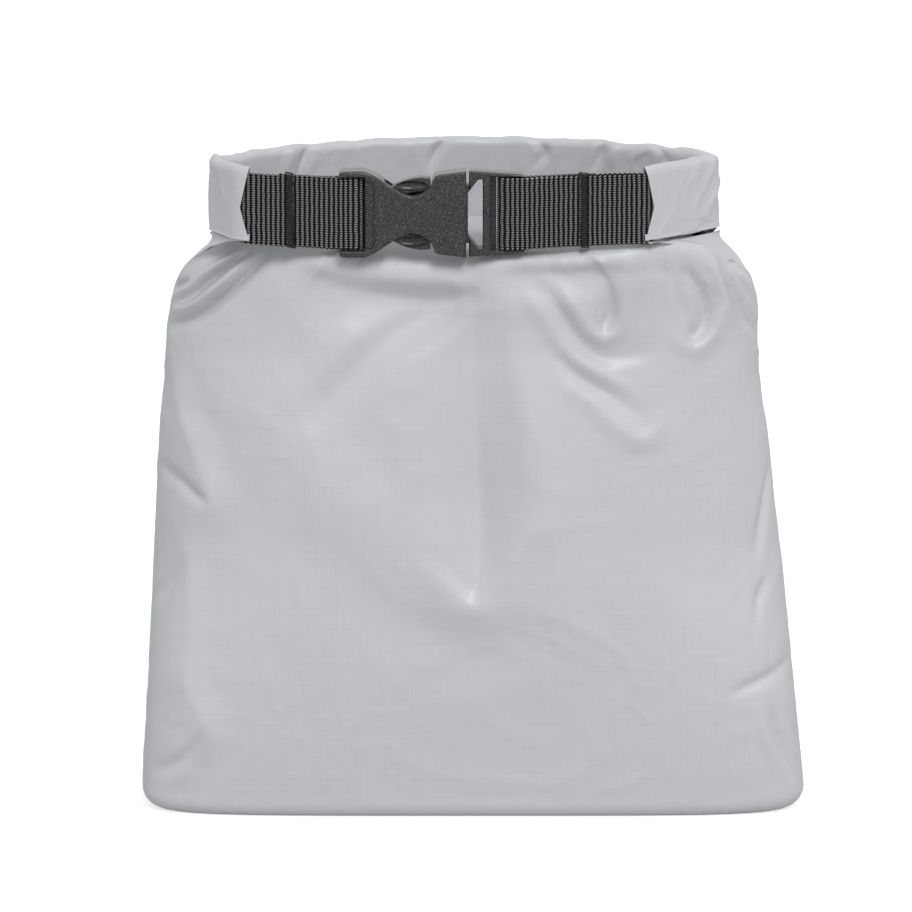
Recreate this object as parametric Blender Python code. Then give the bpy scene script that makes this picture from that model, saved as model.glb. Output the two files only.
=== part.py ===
"""A roll-top dry bag closed by a side-release buckle, as separate pieces.

The bag stands on its base with its front towards -Y and +Z up. Its mouth is rolled down into a flat
band, bent into a ring, and buckled at the front. The origin is on the ground under the bag's middle.
Lengths are in metres. Plan lines run from the left strap round the back to the right strap.
"""

import math

import bmesh
import bpy
import numpy as np
from mathutils import Vector

# Clearances
CLEARANCE = 0.0003
SLIDING_CLEARANCE = 0.0004

# Bag body
FABRIC = 0.0008
SEAM_HEIGHT = 0.007
SHOULDER_HEIGHT = 0.165
BASE_HALF_WIDTH = 0.1155
LEFT_SHOULDER_HALF_WIDTH = 0.1073
RIGHT_SHOULDER_HALF_WIDTH = 0.0987
RIGHT_SIDE_PINCH = 0.0014
BASE_HALF_DEPTH = 0.029
SHOULDER_HALF_DEPTH = 0.0325
BELLY_BULGE = 0.0063
BASE_SQUARENESS = 4.0
BODY_SQUARENESS = 2.3
PAN_RADIUS = 0.006
ARM_SWELL = 0.010
SEAM_PARTING = 0.0011
FRONT_SLOPE_REACH = 0.035
TAPE_WIDTH = 0.016
TAPE = 0.0004

# Rolled mouth
ROLL_CENTRE_HEIGHT = 0.2168
LEFT_CORNER = (-0.0906, -0.012)
RIGHT_CORNER = (0.0864, -0.007)
ROLL_SAGITTA = 0.0345
PLY = 0.0007
PLY_GAP = 0.0003
LEFT_BEND_X = -0.0805
RIGHT_BEND_X = 0.0600
BEND_RADIUS = 0.009
LEFT_FABRIC_REACH = 0.0030
RIGHT_FABRIC_REACH = 0.0017
NOTCH_DEPTH = 0.0042
SHOWN_WEBBING_EDGE = 0.001

# How the panels leave the shoulder and meet the roll, as shares of the width, the rise or the gap
SQUARE_SHARE = 0.6
RIM_SPREAD = 0.75
SHOULDER_LEAN = 0.4
SEAM_RISE = 0.35
FRONT_RISE = 0.62
BACK_RISE = 0.45
SEAM_HANG = 0.35
FRONT_HANG = 0.16
BACK_HANG = 0.4
SLOPE_START = 0.1
SLOPE_FULL = 0.35
SWELL_FULL = 0.05
BACK_SWELL = 1 / 3

# Webbing
WEBBING_WIDTH = 0.025
WEBBING = 0.0015
TAIL_PAST_TACK = 0.004
BARTACK_WIDTH = 0.0045
THREAD = 0.0004
LEFT_TACK_X = -0.0625
RIGHT_TACK_X = 0.0378

# Buckle
STRAP_PLANE_Y = -0.031
BUCKLE_HEIGHT = 0.215
BAR_RADIUS = 0.0016
RAIL = 0.0022
SOCKET_THICKNESS = 0.009
SOCKET_LEFT_X = -0.0457
SOCKET_BAR_X = -0.0406
SOCKET_BODY_X = -0.0347
SOCKET_MOUTH_X = -0.0024
WAIST_X = -0.0204
WAIST_HALF_HEIGHT = 0.0065
LATCH_WALL_X = -0.0142
CAVITY_LEFT_X = -0.0325
CAVITY_HALF_DEPTH = 0.0027
MOUTH_HALF_HEIGHT = 0.0106
PLUG_THICKNESS = 0.006
PLUG_LEFT_X = -0.0015
PLUG_RIGHT_X = 0.0176
PLUG_TAPER = 0.0012
PLUG_BAR_X = 0.0115
WINDOW_LEFT_X = -0.0018
WINDOW_RIGHT_X = 0.0032
WINDOW_CHAMFER = (0.0035, 0.0046)
CROSSBAR = 0.0028
NECK_LENGTH = 0.0032
GUIDE_LENGTH = 0.019
GUIDE_HALF_HEIGHT = 0.0016
PRONG_WIDTH = 0.0026
PRONG_REACH = 0.0236
PAD_CATCH = 0.0018
EDGE_BREAK = 0.0005

# Buckle outlines. Hump: drops below the rail's outer face, from the socket's end to its body.
HUMP_END = 0.0014
HUMP_REACH = 0.002
HUMP_DROPS = (0.0006, 0.0001, 0.0, 0.0006)
BODY_STEP = (0.0006, 0.0008)
# Waist: shares of the way to it and half heights, then shares of the way on and rises above it.
WAIST_FALL = ((0.3, 0.0094), (0.62, 0.0074))
WAIST_RISE = ((0.6, 0.0014), (1.0, 0.0036))
# Mouth: steps past the latch wall and drops below the rail's outer face.
MOUTH_STEPS = ((0.0012, 0.0016), (0.0026, 0.0011))
# Cavity: steps in from its left end, as lengths and shares of the neck's half height.
CAVITY_STEPS = ((0.0, 0.5), (0.002, 0.6))
SIDE_OPENING = 0.0035
PLUG_END_ROUND = (0.0014, 0.0008)
WINDOW_RAIL_EXTRA = 0.0008
GUIDE_ROOT = 0.001
# Prong: shares of the way to the tip and rises, then steps back from the tip and drops.
PRONG_SHOULDER = ((0.25, 0.0002), (0.6, -0.0008))
PRONG_TIP = ((0.0008, 0.0032), (0.0, 0.0042), (0.0012, 0.0052))
PRONG_UNDERSIDE = (0.7, 0.0058)
PRONG_PAD_START = 0.3

# Finishes: colour and roughness
RIPSTOP = ((0.56, 0.58, 0.61), 0.55)
BLACK_WEBBING = ((0.02, 0.02, 0.02), 0.9)
BLACK_THREAD = ((0.015, 0.015, 0.015), 0.8)
BLACK_PLASTIC = ((0.025, 0.025, 0.027), 0.45)
CLEAR_TAPE = ((0.62, 0.64, 0.66), 0.35)

# Mesh fineness
BODY_COLUMNS = 26
BODY_ROWS = 8
SHOULDER_ROWS = 9
ARC_STEPS = 24
BEND_STEPS = 6
LOOP_STEPS = 10
BAR_SIDES = 16
OUTLINE_STEPS = 1200
SIDE_CROWDING = 0.6
SEAM_INFLUENCE = 0.16
PAN_STEPS = 4
TAPE_COLUMNS = 4
CURVE_STEPS = 3
SHARP_ANGLE = 35

# What follows from them
UPWARD = np.array([0.0, 0.0, 1.0])
ARM_PLY = 2 * PLY + PLY_GAP
ROLL_HALF_THICKNESS = WEBBING / 2 + CLEARANCE + ARM_PLY
ROLL_HALF_HEIGHT = WEBBING_WIDTH / 2 + CLEARANCE + ARM_PLY
ROLL_BOTTOM = ROLL_CENTRE_HEIGHT - ROLL_HALF_HEIGHT
LAYERED_HALF = WEBBING + CLEARANCE / 2
STRAP_FACE_Y = STRAP_PLANE_Y - LAYERED_HALF
CLOSURE_FACE_Y = STRAP_FACE_Y - CLEARANCE - ARM_PLY
LOOP_RADIUS = BAR_RADIUS + CLEARANCE + WEBBING
RAIL_INNER = WEBBING_WIDTH / 2 + CLEARANCE
RAIL_OUTER = RAIL_INNER + RAIL
RAIL_REACH = max(SOCKET_BAR_X - SOCKET_LEFT_X, PLUG_RIGHT_X - PLUG_BAR_X)
PRONG_HALF_DEPTH = CAVITY_HALF_DEPTH - SLIDING_CLEARANCE
NECK_HALF_HEIGHT = MOUTH_HALF_HEIGHT - SLIDING_CLEARANCE
NECK_LEFT_X = WINDOW_LEFT_X - NECK_LENGTH
PRONG_ROOT_X = NECK_LEFT_X - CLEARANCE / 2
PRONG_HINGE_HEIGHT = NECK_HALF_HEIGHT - PRONG_WIDTH


# ---------------------------------------------------------------- plan lines

def mitre_vectors(points):
    """Left-hand offsets at each point of a line that keep every parallel at its own distance."""
    steps = np.diff(points, axis=0)
    steps /= np.linalg.norm(steps, axis=1)[:, None]
    normals = np.stack([-steps[:, 1], steps[:, 0]], axis=1)
    before = np.vstack([normals[:1], normals])
    after = np.vstack([normals, normals[-1:]])
    return (before + after) / (1 + np.sum(before * after, axis=1))[:, None]


def offset_line(points, distance):
    """The parallel of a line, on its left-hand side."""
    return points + mitre_vectors(points) * distance


def stations(points):
    """The distance of each point of a line from its start."""
    return np.concatenate([[0.0], np.cumsum(np.linalg.norm(np.diff(points, axis=0), axis=1))])


def walk(points, distances, values=None):
    """Points, or other values kept at the points, at the given distances along a line."""
    values = points if values is None else values
    along = stations(points)
    return np.stack([np.interp(distances, along, values[:, k]) for k in range(values.shape[1])], axis=1)


def line_length(points):
    """The length of a line."""
    return np.linalg.norm(np.diff(points, axis=0), axis=1).sum()


def rounded_corner(before, corner, after, radius, steps):
    """The arc that rounds the corner of a line, as points from its start to its end."""
    back = (before - corner) / np.linalg.norm(before - corner)
    ahead = (after - corner) / np.linalg.norm(after - corner)
    half_angle = math.acos(float(np.clip(back @ ahead, -1, 1))) / 2
    middle = (back + ahead) / np.linalg.norm(back + ahead)
    centre = corner + middle * radius / math.sin(half_angle)
    start = corner + back * radius / math.tan(half_angle) - centre
    end = corner + ahead * radius / math.tan(half_angle) - centre
    sweep = math.atan2(start[0] * end[1] - start[1] * end[0], start @ end)
    angles = np.linspace(0, sweep, steps + 1)
    square = np.array([-start[1], start[0]])
    return centre + np.outer(np.cos(angles), start) + np.outer(np.sin(angles), square)


def back_arc():
    """The outer face of the roll's back, an arc from the left corner to the right corner."""
    left = np.array(LEFT_CORNER)
    right = np.array(RIGHT_CORNER)
    chord = right - left
    half_chord = np.linalg.norm(chord) / 2
    radius = (half_chord ** 2 + ROLL_SAGITTA ** 2) / (2 * ROLL_SAGITTA)
    rearward = np.array([-chord[1], chord[0]]) / (2 * half_chord)
    centre = (left + right) / 2 - rearward * (radius - ROLL_SAGITTA)
    start = math.atan2(*(left - centre)[::-1])
    end = math.atan2(*(right - centre)[::-1])
    angles = np.linspace(start, end, ARC_STEPS + 1)
    return centre + radius * np.stack([np.cos(angles), np.sin(angles)], axis=1)


def arm_line(side):
    """The outer face of an arm in plan, from its corner, round its bend and on along the strap."""
    corner = np.array(LEFT_CORNER if side < 0 else RIGHT_CORNER)
    bend = np.array([LEFT_BEND_X if side < 0 else RIGHT_BEND_X, CLOSURE_FACE_Y])
    strap = bend - np.array([side * 2 * BEND_RADIUS, 0])
    return np.vstack([corner, rounded_corner(corner, bend, strap, BEND_RADIUS, BEND_STEPS), strap])


def arm_length(side):
    """How far an arm's fabric reaches along its outer face."""
    line = arm_line(side)
    to_bend = line_length(line[:-1])
    reach = LEFT_FABRIC_REACH if side < 0 else RIGHT_FABRIC_REACH
    return to_bend - BEND_RADIUS / 2 + reach


def closure_line():
    """The outer face of the whole roll in plan, from the left arm's tip to the right arm's tip."""
    left = arm_line(-1)
    right = arm_line(1)
    tip_left = walk(left, np.linspace(arm_length(-1), 0, BEND_STEPS + 1))[:-1]
    tip_right = walk(right, np.linspace(0, arm_length(1), BEND_STEPS + 1))[1:]
    return np.vstack([tip_left, back_arc(), tip_right])


# ---------------------------------------------------------------- the body's surface

def blend(start, end, share):
    """A value part of the way from start to end."""
    return start + (end - start) * share


def body_share(height):
    """How far a height lies between the base seam and the shoulder, from 0 to 1."""
    return np.clip((height - SEAM_HEIGHT) / (SHOULDER_HEIGHT - SEAM_HEIGHT), 0, 1)


def half_outline(height, front, inset=0.0):
    """The front or back half of the body's level section, left to right, as plan points.

    Each half is a superellipse: |x / width| ** n + |y / depth| ** n = 1, squarer at the base.
    """
    share = body_share(height)
    arch = 4 * share * (1 - share)
    left = blend(BASE_HALF_WIDTH, LEFT_SHOULDER_HALF_WIDTH, share) - inset
    right = blend(BASE_HALF_WIDTH, RIGHT_SHOULDER_HALF_WIDTH, share) - RIGHT_SIDE_PINCH * arch - inset
    depth = blend(BASE_HALF_DEPTH, SHOULDER_HALF_DEPTH, share) + BELLY_BULGE * arch - inset
    power = 2 / blend(BASE_SQUARENESS, BODY_SQUARENESS, min(share / SQUARE_SHARE, 1.0))
    angles = np.linspace(math.pi, 0, OUTLINE_STEPS + 1)
    across = np.cos(angles)
    deep = np.abs(np.sin(angles)) ** power
    width = np.where(across < 0, left, right)
    x = np.sign(across) * np.abs(across) ** power * width
    y = deep * depth * (-1 if front else 1)
    return np.stack([x, y], axis=1)


def column_shares():
    """Where a panel's columns lie across it, from 0 to 1, closer together near its sides."""
    even = np.linspace(0, 1, BODY_COLUMNS + 1)
    return blend(even, (1 - np.cos(math.pi * even)) / 2, SIDE_CROWDING)


def section_points(height, front):
    """The half section cut short of the side seams, at the panel's columns."""
    line = half_outline(height, front)
    length = line_length(line)
    return walk(line, CLEARANCE / 2 + column_shares() * (length - CLEARANCE))


def rim_points(front):
    """A panel's top edge under the roll, from arm tip to arm tip, and the way into the ring there."""
    spread = (2 * FABRIC + CLEARANCE) * RIM_SPREAD
    line = offset_line(closure_line(), -ROLL_HALF_THICKNESS - (spread if front else -spread))
    places = column_shares() * line_length(line)
    inward = walk(line, places, -mitre_vectors(line))
    inward /= np.linalg.norm(inward, axis=1)[:, None]
    return raise_plan(walk(line, places), ROLL_BOTTOM - CLEARANCE), raise_plan(inward, 0.0)


def ease(values, start, end):
    """0 up to the start, 1 from the end on, and a smooth rise between."""
    share = np.clip((values - start) / (end - start), 0, 1)
    return share ** 2 * (3 - 2 * share)


def panel_surface(front):
    """The outer face of a panel, rows upwards and columns left to right.

    Below the shoulder each row is a level section. Above it each column is a cubic curve that rises
    from the shoulder and comes in to the roll: the front panel from inside the ring, the back panel
    from below. At the side seams both follow the same curve to the arm's tip.
    """
    heights = np.linspace(SEAM_HEIGHT + CLEARANCE / 2, SHOULDER_HEIGHT, BODY_ROWS + 1)
    level = [raise_plan(section_points(h, front), h) for h in heights]
    foot = level[-1]
    top, inward = rim_points(front)
    shares = column_shares()
    from_seam = np.minimum(shares, 1 - shares)[:, None]
    inner = ease(from_seam, 0, SEAM_INFLUENCE)
    rise = ROLL_BOTTOM - SHOULDER_HEIGHT
    lean = (foot - level[-2]) * [1, 1, 0] * SHOULDER_LEAN
    lower = foot + lean + UPWARD * rise * blend(SEAM_RISE, FRONT_RISE if front else BACK_RISE, inner)
    swell = -ARM_SWELL * BACK_SWELL
    if front:
        swell = blend(ARM_SWELL, FRONT_SLOPE_REACH, ease(from_seam, SLOPE_START, SLOPE_FULL))
    swell = inward * swell * ease(from_seam, 0, SWELL_FULL)
    hang = blend((foot - top) * SEAM_HANG, -UPWARD * rise * (FRONT_HANG if front else BACK_HANG), inner)
    part = (1 - inner) * -np.sign(foot) * [1, 0, 0] * (SEAM_PARTING if front else -SEAM_PARTING)
    lower += part
    upper = top + hang + swell + part
    rows = list(level)
    for share in np.linspace(0, 1, SHOULDER_ROWS + 1)[1:]:
        rest = 1 - share
        rows.append(foot * rest ** 3 + lower * 3 * rest ** 2 * share + upper * 3 * rest * share ** 2
                    + top * share ** 3)
    return np.array(rows)


def raise_plan(points, height):
    """Plan points lifted to one height."""
    return np.column_stack([points, np.full(len(points), height)])


# ---------------------------------------------------------------- meshes

def make_material(name, colour, roughness):
    """A plain material of one colour."""
    material = bpy.data.materials.new(name)
    material.use_nodes = True
    shader = material.node_tree.nodes["Principled BSDF"]
    shader.inputs["Base Color"].default_value = (*colour, 1.0)
    shader.inputs["Roughness"].default_value = roughness
    shader.inputs["Metallic"].default_value = 0.0
    return material


def make_object(name, vertices, faces, finish, pivot=None):
    """An object from world-space points, with its origin on its pivot and its faces turned outwards."""
    origin = Vector(pivot.location) if pivot else Vector((0, 0, 0))
    mesh = bpy.data.meshes.new(name)
    mesh.from_pydata([Vector(point) - origin for point in vertices], [], faces)
    shaped = bmesh.new()
    shaped.from_mesh(mesh)
    bmesh.ops.recalc_face_normals(shaped, faces=shaped.faces)
    shaped.to_mesh(mesh)
    shaped.free()
    mesh.shade_smooth()
    mesh.set_sharp_from_angle(angle=math.radians(SHARP_ANGLE))
    mesh.materials.append(make_material(name, *finish))
    thing = bpy.data.objects.new(name, mesh)
    bpy.context.scene.collection.objects.link(thing)
    if pivot:
        thing.parent = pivot
    return thing


def sheet(name, outer, inner, finish, pivot=None):
    """A thick sheet between two grids of the same rows and columns."""
    rows, columns = outer.shape[:2]
    count = rows * columns
    index = np.arange(count).reshape(rows, columns)
    faces = []
    for i in range(rows - 1):
        for j in range(columns - 1):
            a, b, c, d = index[i, j], index[i, j + 1], index[i + 1, j + 1], index[i + 1, j]
            faces.append((a, b, c, d))
            faces.append((d + count, c + count, b + count, a + count))
    border = [*index[0, :-1], *index[:-1, -1], *index[-1, :0:-1], *index[:0:-1, 0]]
    for a, b in zip(border, border[1:] + border[:1]):
        faces.append((b, a, a + count, b + count))
    points = np.vstack([outer.reshape(-1, 3), inner.reshape(-1, 3)])
    return make_object(name, points, [tuple(int(k) for k in face) for face in faces], finish, pivot)


def rings(name, loops, finish, closed=False, pivot=None):
    """A solid through a list of closed loops, capped at both ends or joined end to end."""
    size = len(loops[0])
    faces = []
    pairs = list(zip(range(len(loops)), range(1, len(loops))))
    if closed:
        pairs.append((len(loops) - 1, 0))
    for a, b in pairs:
        for k in range(size):
            n = (k + 1) % size
            faces.append((a * size + k, a * size + n, b * size + n, b * size + k))
    if not closed:
        faces.append(tuple(range(size)))
        faces.append(tuple(range((len(loops) - 1) * size, len(loops) * size)))
    return make_object(name, np.vstack(loops), faces, finish, pivot)


# ---------------------------------------------------------------- bag body

def surface_normals(grid):
    """Unit normals of a grid of points."""
    down = np.gradient(grid, axis=0)
    along = np.gradient(grid, axis=1)
    normals = np.cross(along, down)
    return normals / np.linalg.norm(normals, axis=2)[:, :, None]


def build_panel(name, front):
    """The front or back panel of the body, one sheet of coated fabric."""
    outer = panel_surface(front)
    outward = surface_normals(outer) * (1 if front else -1)
    sheet(name, outer, outer - outward * FABRIC, RIPSTOP)


def whole_outline(height, inset):
    """The body's closed level section, front then back."""
    halves = []
    for front in (True, False):
        line = half_outline(height, front, inset)
        points = walk(line, column_shares() * line_length(line))
        halves.append(points[:-1] if front else points[:0:-1])
    return np.vstack(halves)


def pan_profile(distance, thickness):
    """Inset and height on the base's turned-up wall, at a distance down from the seam."""
    wall = SEAM_HEIGHT - PAN_RADIUS
    if distance <= wall:
        return thickness, SEAM_HEIGHT - distance
    angle = (distance - wall) / PAN_RADIUS
    radius = PAN_RADIUS - thickness
    return PAN_RADIUS - radius * math.cos(angle), PAN_RADIUS - radius * math.sin(angle)


def build_base_panel():
    """The base, a shallow pan with its rim turned up to meet the panels."""
    wall = SEAM_HEIGHT - PAN_RADIUS
    arc = PAN_RADIUS * math.pi / 2
    stops = np.linspace(wall + arc, wall, PAN_STEPS + 1)
    loops = []
    for thickness, order in ((0.0, stops), (FABRIC, stops[::-1])):
        level = [pan_profile(s, thickness) for s in order]
        rim = pan_profile(CLEARANCE / 2, thickness)
        level = level + [rim] if thickness == 0.0 else [rim] + level
        loops += [raise_plan(whole_outline(SEAM_HEIGHT, inset), height) for inset, height in level]
    rings("base_panel", loops, RIPSTOP)


def build_base_seam_tape():
    """The tape that seals the base seam, a ring inside the wall."""
    half = TAPE_WIDTH / 2
    near = FABRIC + CLEARANCE
    loops = []
    for depth in (near, near + TAPE):
        stops = np.linspace(-half, half, 2 * PAN_STEPS + 1)
        side = []
        for s in stops:
            inset, height = (depth, SEAM_HEIGHT - s) if s < 0 else pan_profile(s, depth)
            side.append(raise_plan(whole_outline(height, inset), height))
        loops += side if depth == near else side[::-1]
    rings("base_seam_tape", loops, CLEAR_TAPE, closed=True)


def build_side_seam_tape(name, side):
    """The tape that seals a side seam, a strip inside from the base tape to the shoulder."""
    near = FABRIC + CLEARANCE
    half = TAPE_WIDTH / 2
    foot = SEAM_HEIGHT + half + CLEARANCE
    faces = []
    for depth in (near, near + TAPE):
        rows = []
        for height in np.linspace(foot, SHOULDER_HEIGHT - CLEARANCE, BODY_ROWS + 1):
            front = half_outline(height, True, depth)[::-side]
            back = half_outline(height, False, depth)[::-side]
            places = np.linspace(0, half, TAPE_COLUMNS)
            strip = np.vstack([walk(front, places[::-1]), walk(back, places)[1:]])
            rows.append(raise_plan(strip, height))
        faces.append(np.array(rows))
    sheet(name, faces[0], faces[1], CLEAR_TAPE)


# ---------------------------------------------------------------- rolled mouth

def spiral_section():
    """The middle of the fabric in a cut across the roll: two turns round the stiffening webbing."""
    across = WEBBING / 2 + CLEARANCE + PLY / 2
    upright = WEBBING_WIDTH / 2 + CLEARANCE + PLY / 2
    step = PLY + PLY_GAP
    wide, tall = across + step, upright + step
    return np.array([(wide, -tall), (-wide, -tall), (-wide, tall), (wide, tall), (wide, -upright),
                     (-across, -upright), (-across, upright), (across, upright), (across, step - upright)])


def back_run():
    """The roll's back in plan: its outer face and the inward offsets, mitred at both corners."""
    line = back_arc()
    whole = np.vstack([arm_line(-1)[1], line, arm_line(1)[1]])
    inward = -mitre_vectors(whole)[1:-1]
    line = pull_back(line, inward)
    return pull_back(line[::-1], inward[::-1])[::-1], inward


def arm_run(side):
    """An arm in plan: its outer face from the corner on, and the inward offsets."""
    line = arm_line(side)
    before = back_arc()[1 if side < 0 else -2]
    inward = -side * mitre_vectors(np.vstack([before, line]))[1:]
    return pull_back(line, inward), inward


def pull_back(line, offsets):
    """The line with its start moved along it, so that the mitred cut there has half the clearance."""
    ahead = line[1] - line[0]
    shift = CLEARANCE / 2 * np.linalg.norm(offsets[0]) / np.linalg.norm(ahead)
    return np.vstack([line[0] + ahead * shift, line[1:]])


def roll_band(name, line, inward, section, thickness, finish, pivot=None, notch=0.0):
    """A band whose section, given as its middle line, is carried along the roll's outer face.

    A section point's first value runs inwards from the roll's middle, its second upwards. A notch
    pulls the band's end back, most at half height, and leaves a pointed edge.
    """
    along = stations(line)
    faces = []
    for turn in (thickness / 2, -thickness / 2):
        columns = []
        for across, upright in offset_line(section, turn):
            share = max(0.0, 1 - abs(upright) / ROLL_HALF_HEIGHT)
            places = along * (1 - notch * share / along[-1])
            plan = walk(line, places) + walk(line, places, inward) * (ROLL_HALF_THICKNESS + across)
            columns.append(raise_plan(plan, ROLL_CENTRE_HEIGHT + upright))
        faces.append(np.array(columns).transpose(1, 0, 2))
    sheet(name, faces[0], faces[1], finish, pivot)


def build_rolled_mouth_back():
    """The back of the rolled mouth."""
    line, inward = back_run()
    roll_band("rolled_mouth_back", line, inward, spiral_section(), PLY, RIPSTOP)


def build_rim_webbing():
    """The stiffening webbing inside the back of the roll."""
    line, inward = back_run()
    half = WEBBING_WIDTH / 2
    roll_band("rim_webbing", line, inward, np.array([(0, -half), (0, half)]), WEBBING, BLACK_WEBBING)


def build_rolled_mouth_arm(name, side, pivot):
    """One arm of the rolled mouth, folded over the webbing and open below."""
    line, inward = arm_run(side)
    along = stations(line)
    length = arm_length(side)
    reach = np.append(along[along < length - CLEARANCE], length)
    across = WEBBING / 2 + CLEARANCE + ARM_PLY / 2
    top = WEBBING_WIDTH / 2 + CLEARANCE + ARM_PLY / 2
    bottom = SHOWN_WEBBING_EDGE - WEBBING_WIDTH / 2
    section = np.array([(-across, bottom), (-across, top), (across, top), (across, bottom)])
    fabric, offsets = walk(line, reach), walk(line, reach, inward)
    roll_band(name, fabric, offsets, section, ARM_PLY, RIPSTOP, pivot, NOTCH_DEPTH)


# ---------------------------------------------------------------- webbing

def side_sizes(side):
    """The bend, the bar and the tack of one strap, as places along X."""
    if side < 0:
        return LEFT_BEND_X, SOCKET_BAR_X, LEFT_TACK_X
    return RIGHT_BEND_X, PLUG_BAR_X, RIGHT_TACK_X


def strap_centre_height(side, x):
    """The height of the strap's middle, falling from the roll to the buckle."""
    bend_x, bar_x, _ = side_sizes(side)
    level_x = bar_x + side * (RAIL_REACH + 2 * CLEARANCE)
    share = np.clip((x - bend_x) / (level_x - bend_x), 0, 1)
    return blend(ROLL_CENTRE_HEIGHT, BUCKLE_HEIGHT, share)


def webbing_line(side):
    """The middle of the webbing in plan: the arm, the front layer, the loop and the tail."""
    line, inward = arm_run(side)
    _, bar_x, tack_x = side_sizes(side)
    arm = (line + inward * ROLL_HALF_THICKNESS)[:-1]
    layer = (WEBBING + CLEARANCE) / 2
    parting_x = tack_x - side * (BARTACK_WIDTH / 2 + CLEARANCE)
    level_x = bar_x + side * (RAIL_REACH + 2 * CLEARANCE)
    spread = blend(layer, LOOP_RADIUS - WEBBING / 2, (parting_x - level_x) / (parting_x - bar_x))
    front = [(parting_x, STRAP_PLANE_Y - layer), (level_x, STRAP_PLANE_Y - spread)]
    radius = LOOP_RADIUS - WEBBING / 2
    angles = np.linspace(-math.pi / 2, math.pi / 2, LOOP_STEPS + 1)
    loop = [(bar_x - side * radius * math.cos(a), STRAP_PLANE_Y + radius * math.sin(a)) for a in angles]
    tail = [(level_x, STRAP_PLANE_Y + spread), (parting_x, STRAP_PLANE_Y + layer),
            (tack_x + side * TAIL_PAST_TACK, STRAP_PLANE_Y + layer)]
    middle = np.vstack([arm, front, loop, tail])
    offsets = -side * mitre_vectors(middle)
    offsets[0] = inward[0]
    return middle, offsets


def build_webbing(name, side, pivot):
    """One strap, from inside its arm to the buckle's bar and back to the tack."""
    middle, offsets = webbing_line(side)
    centre = strap_centre_height(side, middle[:, 0])
    faces = []
    for turn in (-WEBBING / 2, WEBBING / 2):
        plan = middle + offsets * turn
        low = np.column_stack([plan, centre - WEBBING_WIDTH / 2])
        high = np.column_stack([plan, centre + WEBBING_WIDTH / 2])
        faces.append(np.stack([low, high], axis=1))
    sheet(name, faces[0], faces[1], BLACK_WEBBING, pivot)


def build_bartack(name, side, pivot):
    """The band of thread that holds the webbing's two layers together."""
    tack_x = side_sizes(side)[2]
    inner = (LAYERED_HALF + CLEARANCE, WEBBING_WIDTH / 2 + 2 * CLEARANCE)
    outer = (inner[0] + THREAD, inner[1] + THREAD)
    corners = ((-1, -1), (1, -1), (1, 1), (-1, 1))
    loops = []
    for end, (depth, height) in ((-1, outer), (1, outer), (1, inner), (-1, inner)):
        x = tack_x + end * BARTACK_WIDTH / 2
        centre = float(strap_centre_height(side, x))
        loops.append([(x, STRAP_PLANE_Y + a * depth, centre + b * height) for a, b in corners])
    rings(name, [np.array(loop) for loop in loops], BLACK_THREAD, closed=True, pivot=pivot)


# ---------------------------------------------------------------- buckle

def mirrored(half):
    """A closed outline in X and height, from its upper half, left to right."""
    half = np.array(half)
    return np.vstack([half, half[::-1] * [1, -1]])


def smooth_through(points, steps):
    """A smooth line through points, by Catmull-Rom spans."""
    points = np.array(points)
    padded = np.vstack([2 * points[0] - points[1], points, 2 * points[-1] - points[-2]])
    line = [points[0]]
    for a, b, c, d in zip(padded, padded[1:], padded[2:], padded[3:]):
        for t in np.linspace(0, 1, steps + 1)[1:]:
            line.append(0.5 * (2 * b + (c - a) * t + (2 * a - 5 * b + 4 * c - d) * t ** 2
                               + (3 * b - a - 3 * c + d) * t ** 3))
    return np.array(line)


def plate(name, outline, half_depth, edge, finish, pivot=None):
    """A plate with broken edges, from an outline in X and height above the buckle's middle."""
    closed = np.vstack([outline[-1:], outline, outline[:1]])
    inner = outline + mitre_vectors(closed)[1:-1] * edge
    if polygon_area(inner) > polygon_area(outline):
        inner = outline - mitre_vectors(closed)[1:-1] * edge
    loops = []
    for shape, depth in ((inner, -half_depth), (outline, edge - half_depth), (outline, half_depth - edge),
                         (inner, half_depth)):
        if edge or depth in (-half_depth, half_depth):
            loops.append(np.column_stack([shape[:, 0], np.full(len(shape), STRAP_PLANE_Y + depth),
                                          BUCKLE_HEIGHT + shape[:, 1]]))
    return rings(name, loops if edge else [loops[0], loops[-1]], finish, pivot=pivot)


def polygon_area(outline):
    """The area inside a closed outline."""
    following = np.roll(outline, -1, axis=0)
    return abs(np.sum(outline[:, 0] * following[:, 1] - following[:, 0] * outline[:, 1])) / 2


def upright_bar(name, x, half_height, pivot):
    """A round bar across the buckle, for the webbing to pass round."""
    angles = np.linspace(0, 2 * math.pi, BAR_SIDES, endpoint=False)
    circle = np.stack([x + BAR_RADIUS * np.cos(angles), STRAP_PLANE_Y + BAR_RADIUS * np.sin(angles)], axis=1)
    loops = [raise_plan(circle, BUCKLE_HEIGHT + end * half_height) for end in (-1, 1)]
    return rings(name, loops, BLACK_PLASTIC, pivot=pivot)


def combine(body, tools, operation):
    """Joins tools to a body, or cuts them from it, and removes them."""
    for tool in tools:
        change = body.modifiers.new(tool.name, "BOOLEAN")
        change.operation = operation
        change.object = tool
        change.solver = "EXACT"
        bpy.context.view_layer.update()
        graph = bpy.context.evaluated_depsgraph_get()
        body.data = bpy.data.meshes.new_from_object(body.evaluated_get(graph))
        body.modifiers.remove(change)
        bpy.data.objects.remove(tool)


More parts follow.
